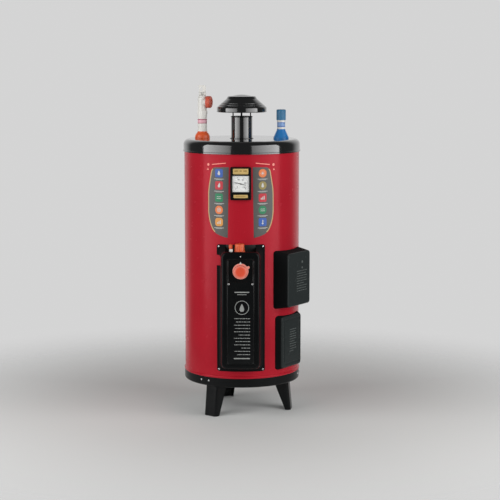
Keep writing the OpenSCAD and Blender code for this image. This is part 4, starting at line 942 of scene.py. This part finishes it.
# %% Mark above the knob
MARK_ABOVE, MARK_RADIUS, PRINT_FILM = mm(56.5, 3.4, 0.08)

mark = bmesh.new()
disc(mark, 0, knob_z + MARK_ABOVE, MARK_RADIUS, TRIANGLE, turn=180)
thicken(mark, reach("front_cover", FRONT), PRINT_FILM)
piece("panel_mark", mark, ["pale_ink"])

# %% [markdown]
# ## Lines on the front panel
# Behind the cover's window is a gloss black panel. Its lower half has a plain sign, a ring with a drop,
# over ruled lines. A ruled line of one length looks like a grille, so each line is a row of dashes of
# changing length, and the lines end at the right on one edge.

# %% Sign and dashed lines
BORDER_RISE, PRINT_MIDDLE = mm(1.4, 5)
PANEL_BARS = [mm(509, 56, 4, 1.9), mm(500, 36, 2, 0.9), mm(254, 62, 4, 1.9)]
HOOP_Z, HOOP_RADIUS, HOOP_WIDTH, EMBLEM_Z, EMBLEM_SIZE = mm(450, 27, 2.2, 447, 16)
HOOP_SIDES, LINE_SHIFT = 48, 3
LINE_SHARES = (0.98, 0.86, 0.98, 0.92, 0.98, 0.7, 0.98, 0.9, 0.98, 0.56, 0.96, 0.8)
LINE_WIDTH, LINE_TOP, LINE_STEP = mm(62, 408, 12.6)
DASHES = mm(9, 5, 12, 7, 4, 10, 6, 8)
DASH_GAP, DASH_HEIGHT, DASH_CORNER = mm(1.8, 2.4, 0.72)

def dashed(bm, right, z, width, first):
    """A ruled line of dashes that ends at right and is about so wide; first picks the first dash."""
    left, k = right - width, first
    while right > left:
        length = min(DASHES[k % len(DASHES)], right - left)
        card(bm, right - length / 2, z, length, DASH_HEIGHT, DASH_CORNER)
        right -= length + DASH_GAP
        k += 1

ink("dim_ink", srgb(150, 153, 150))
lines = bmesh.new()
for bar in PANEL_BARS:
    card(lines, PRINT_MIDDLE, *bar)
hoop(lines, PRINT_MIDDLE, HOOP_Z, HOOP_RADIUS, HOOP_WIDTH, HOOP_SIDES)
drop(lines, PRINT_MIDDLE, EMBLEM_Z, EMBLEM_SIZE)
for k, share in enumerate(LINE_SHARES):
    right, z = PRINT_MIDDLE + LINE_WIDTH / 2, LINE_TOP - k * LINE_STEP
    dashed(lines, right, z, share * LINE_WIDTH, LINE_SHIFT * k)
thicken(lines, reach("front_panel", FRONT) - BORDER_RISE, PRINT_FILM)
piece("panel_lines", lines, ["dim_ink"])

# %% [markdown]
# ## Painted shade behind the cover's mouth
# Above the front cover's face is a mouth for the hand that turns the gas cock. The shade inside it is
# painted: a near-black film, like the panels, is wrapped round the jacket and tucked under the cover's
# flange, over the red jacket that lies in shade there.

# %% Painted shade in the mouth
MOUTH_WIDTH, MOUTH_LOW, MOUTH_CORNER, MOUTH_MARGIN = mm(124, 640, 3, 1)

# A near-black ink for the painted shade inside the mouth.
ink("painted_shade_ink", srgb(12, 13, 13), 0.5)
mouth_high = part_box("front_cover")[1].z
mouth_height = mouth_high - MOUTH_LOW - MOUTH_MARGIN
shade_film = bmesh.new()
card(shade_film, 0, (MOUTH_LOW + mouth_high) / 2, MOUTH_WIDTH, mouth_height, MOUTH_CORNER)
wrap(shade_film, ON_JACKET)
piece("mouth_painted_shade", shade_film, ["painted_shade_ink"])

# %% [markdown]
# ## Pointer of the temperature knob
# A raised, pale pointer on the knob's skirt says where it is set. Its tip reaches a little past the rim.
# It rides on the knob and not on the heater, so it turns with it.

# %% Knob pointer
POINTER_FOOT, POINTER_TIP, POINTER_RISE, POINTER_EDGE = mm(27.5, 36.5, 0.9, 0.25)
POINTER_STEPS = 2
SKIRT_INNER, SKIRT_RIM = mm(25.5, 29.6)

skirt = [v.co for v in nodes["temp_dial"].data.vertices
         if SKIRT_INNER < math.hypot(v.co.x, v.co.z - knob_z) < SKIRT_RIM]
# A triangle is one and a half times as high as the radius of the circle round it.
pointer_radius = (POINTER_TIP - POINTER_FOOT) / 1.5
pointer = bmesh.new()
disc(pointer, 0, knob_z + POINTER_TIP - pointer_radius, pointer_radius, TRIANGLE)
thicken(pointer, max(co @ FRONT for co in skirt), POINTER_RISE)
level_edges = [e for e in pointer.edges if abs(e.verts[0].co.y - e.verts[1].co.y) < POINTER_EDGE]
round_off(pointer, level_edges, POINTER_EDGE, POINTER_STEPS)
piece("knob_pointer", pointer, ["pale_ink"], body="temperature_dial")

# %% [markdown]
# ## Side covers
# The two covers at the right close the hand hole and the drain. Their faces look out at 57 degrees from
# the front. Each has a small block of faint grey rules, and the upper one two dots above it. They are
# drawn as if on the front and then turned to the side.

# %% Faint rules on the side covers
RULE_SHIFT = 5
COVER_DOTS = [mm(21, 64, 5), mm(21, 42, 4)]

ink("faint_ink", srgb(92, 98, 96))

def side_rules(name, left, width, top, step, count, dots=()):
    """A block of rules on a side cover: its top, and the dots, are above the middle of the cover."""
    low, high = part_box("side_cover_" + name)
    centre = (low.z + high.z) / 2
    block = bmesh.new()
    for k, share in enumerate(LINE_SHARES[:count]):
        dashed(block, left + share * width, centre + top - k * step, share * width, RULE_SHIFT * k)
    for x, rise, radius in dots:
        disc(block, x, centre + rise, radius)
    thicken(block, reach("side_cover_" + name, side_out), PRINT_FILM)
    bmesh.ops.transform(block, matrix=facing(SIDE_AZIMUTH), verts=block.verts)
    piece("side_rules_" + name, block, ["faint_ink"])

side_rules("upper", *mm(-18, 74, 30, 9.6), count=9, dots=COVER_DOTS)
side_rules("lower", *mm(-14, 48, 45, 9.4), count=10)

# %% [markdown]
# ## Screw heads
# The CAD model has a plain dome for each screw. A pan head with a cross recess replaces it. The head
# grows from a ring of edges that is extruded, narrowed and raised along the profile of the dome. The
# recess is a grid of three by three faces without its corners, sunk into the top and bridged to the rim.

# %% Pan head with a cross recess
HEAD_PROFILE = ((1.0, 0.25), (0.97, 0.5), (0.86, 0.74), (0.68, 0.92), (0.56, 1.0))
HEAD_SIDES, SHANK_SIDES = 24, 16
RECESS_ARM, RECESS_WIDTH, RECESS_DEPTH, RECESS_TAPER = 0.42, 0.11, 0.45, 0.8

def dome(bm, radius, height):
    """The outside of a pan head, open at its top: gives the edges of the opening."""
    ring = bmesh.ops.create_circle(bm, cap_ends=True, segments=HEAD_SIDES, radius=radius)["verts"]
    edges = list(ring[0].link_faces[0].edges)
    wide, level = 1.0, 0.0
    for share, up in HEAD_PROFILE:
        made = new_verts(bmesh.ops.extrude_edge_only(bm, edges=edges))
        bmesh.ops.scale(bm, verts=made, vec=(share / wide, share / wide, 1))
        bmesh.ops.translate(bm, verts=made, vec=(0, 0, (up - level) * height))
        wide, level = share, up
        near = {e for v in made for e in v.link_edges}
        edges = [e for e in near if all(v in made for v in e.verts)]
    return edges

def recess(bm, radius, height):
    """A sunk cross at the top of a head: gives the edges of its rim."""
    cross = bmesh.ops.create_grid(bm, x_segments=3, y_segments=3, size=RECESS_ARM * radius,
                                  matrix=Matrix.Translation((0, 0, height)))["verts"]
    for vert in cross:
        for axis in (0, 1):
            if abs(vert.co[axis]) < 0.9 * RECESS_ARM * radius:
                vert.co[axis] = math.copysign(RECESS_WIDTH * radius, vert.co[axis])
    faces = {f for v in cross for f in v.link_faces}
    corners = [f for f in faces if min(map(abs, f.calc_center_median()[:2])) > RECESS_WIDTH * radius]
    bmesh.ops.delete(bm, geom=corners, context="FACES")
    bottom = [f for f in faces if f.is_valid]
    rim = [e for f in bottom for e in f.edges if len(e.link_faces) == 1]
    sunk = new_verts(bmesh.ops.extrude_face_region(bm, geom=bottom))
    bmesh.ops.translate(bm, verts=sunk, vec=(0, 0, -RECESS_DEPTH * height))
    bmesh.ops.scale(bm, verts=sunk, vec=(RECESS_TAPER, RECESS_TAPER, 1))
    bmesh.ops.delete(bm, geom=[f for f in bottom if f.is_valid], context="FACES_ONLY")
    return [e for e in rim if e.is_valid]

def screw_head(radius, height, shank):
    """A pan head on the xy plane with a piece of its shank below."""
    bm = bmesh.new()
    bmesh.ops.create_cone(bm, cap_ends=True, segments=SHANK_SIDES, radius1=shank, radius2=shank,
                          depth=height, matrix=Matrix.Translation((0, 0, -height / 2)))
    bmesh.ops.bridge_loops(bm, edges=dome(bm, radius, height) + recess(bm, radius, height))
    return bm

print("steps of a head's profile:", len(HEAD_PROFILE))

# %% [markdown]
# ## Setting the heads
# All screws of a kind are one CAD node, so its vertices are first sorted into screws: those of one screw
# lie close together. Their box gives the place and the radius of a head. A head looks away from the
# tank's axis, or straight to the front, and its cross is turned by its place, so few stand alike.

# %% Set a head on every screw
SCREW_REACH = 20 * MM
HEAD_HEIGHT, SHANK_RADIUS = 0.6, 0.5
TURN_BY_X, TURN_BY_Z = 90, 40

def screws(name):
    """The vertices of each separate screw of a node."""
    found = []
    for vert in nodes[name].data.vertices:
        near = [screw for screw in found if (screw[0] - vert.co).length < SCREW_REACH]
        if near:
            near[0].append(vert.co)
        else:
            found.append([vert.co])
    return found

def set_screws(name, replaced, straight=False):
    """One piece for all screws of a node: each looks away from the tank's axis, or to the front."""
    heads = bmesh.new()
    for screw in screws(replaced):
        low, high = (Vector(map(pick, zip(*screw))) for pick in (min, max))
        middle = (low + high) / 2
        azimuth = 0.0 if straight else math.degrees(math.atan2(middle.x, -middle.y))
        side = middle.x if straight else 0.0
        out = facing(azimuth) @ FRONT
        radius = (high.z - low.z) / 2
        height = HEAD_HEIGHT * radius
        foot = max(co @ out for co in screw) - height
        head = screw_head(radius, height, SHANK_RADIUS * radius)
        spot = facing(azimuth) @ Matrix.Translation((side, -foot, middle.z)) @ UPRIGHT
        turn = Matrix.Rotation(TURN_BY_X * middle.x + TURN_BY_Z * middle.z, 4, "Z")
        bmesh.ops.transform(head, matrix=spot @ turn, verts=head.verts)
        part = bpy.data.meshes.new("head")
        head.to_mesh(part)
        head.free()
        heads.from_mesh(part)
        bpy.data.meshes.remove(part)
    piece(name, heads, ["bright_steel"], replaced=replaced)

set_screws("leg_screw_heads", "leg_screws")
set_screws("cover_screw_heads", "cover_screws")
set_screws("panel_screw_heads", "panel_screws", straight=True)

# %% [markdown]
# ## Closing
# The dressed heater must not be larger than the CAD model, so the last line prints how much its box
# grows over the CAD model's box.

# %% Compare the boxes and finish
visual_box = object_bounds()
growth = (visual_box[1] - visual_box[0]) - (cad_box[1] - cad_box[0])
print("growth in mm:", [round(g / MM, 3) for g in growth])
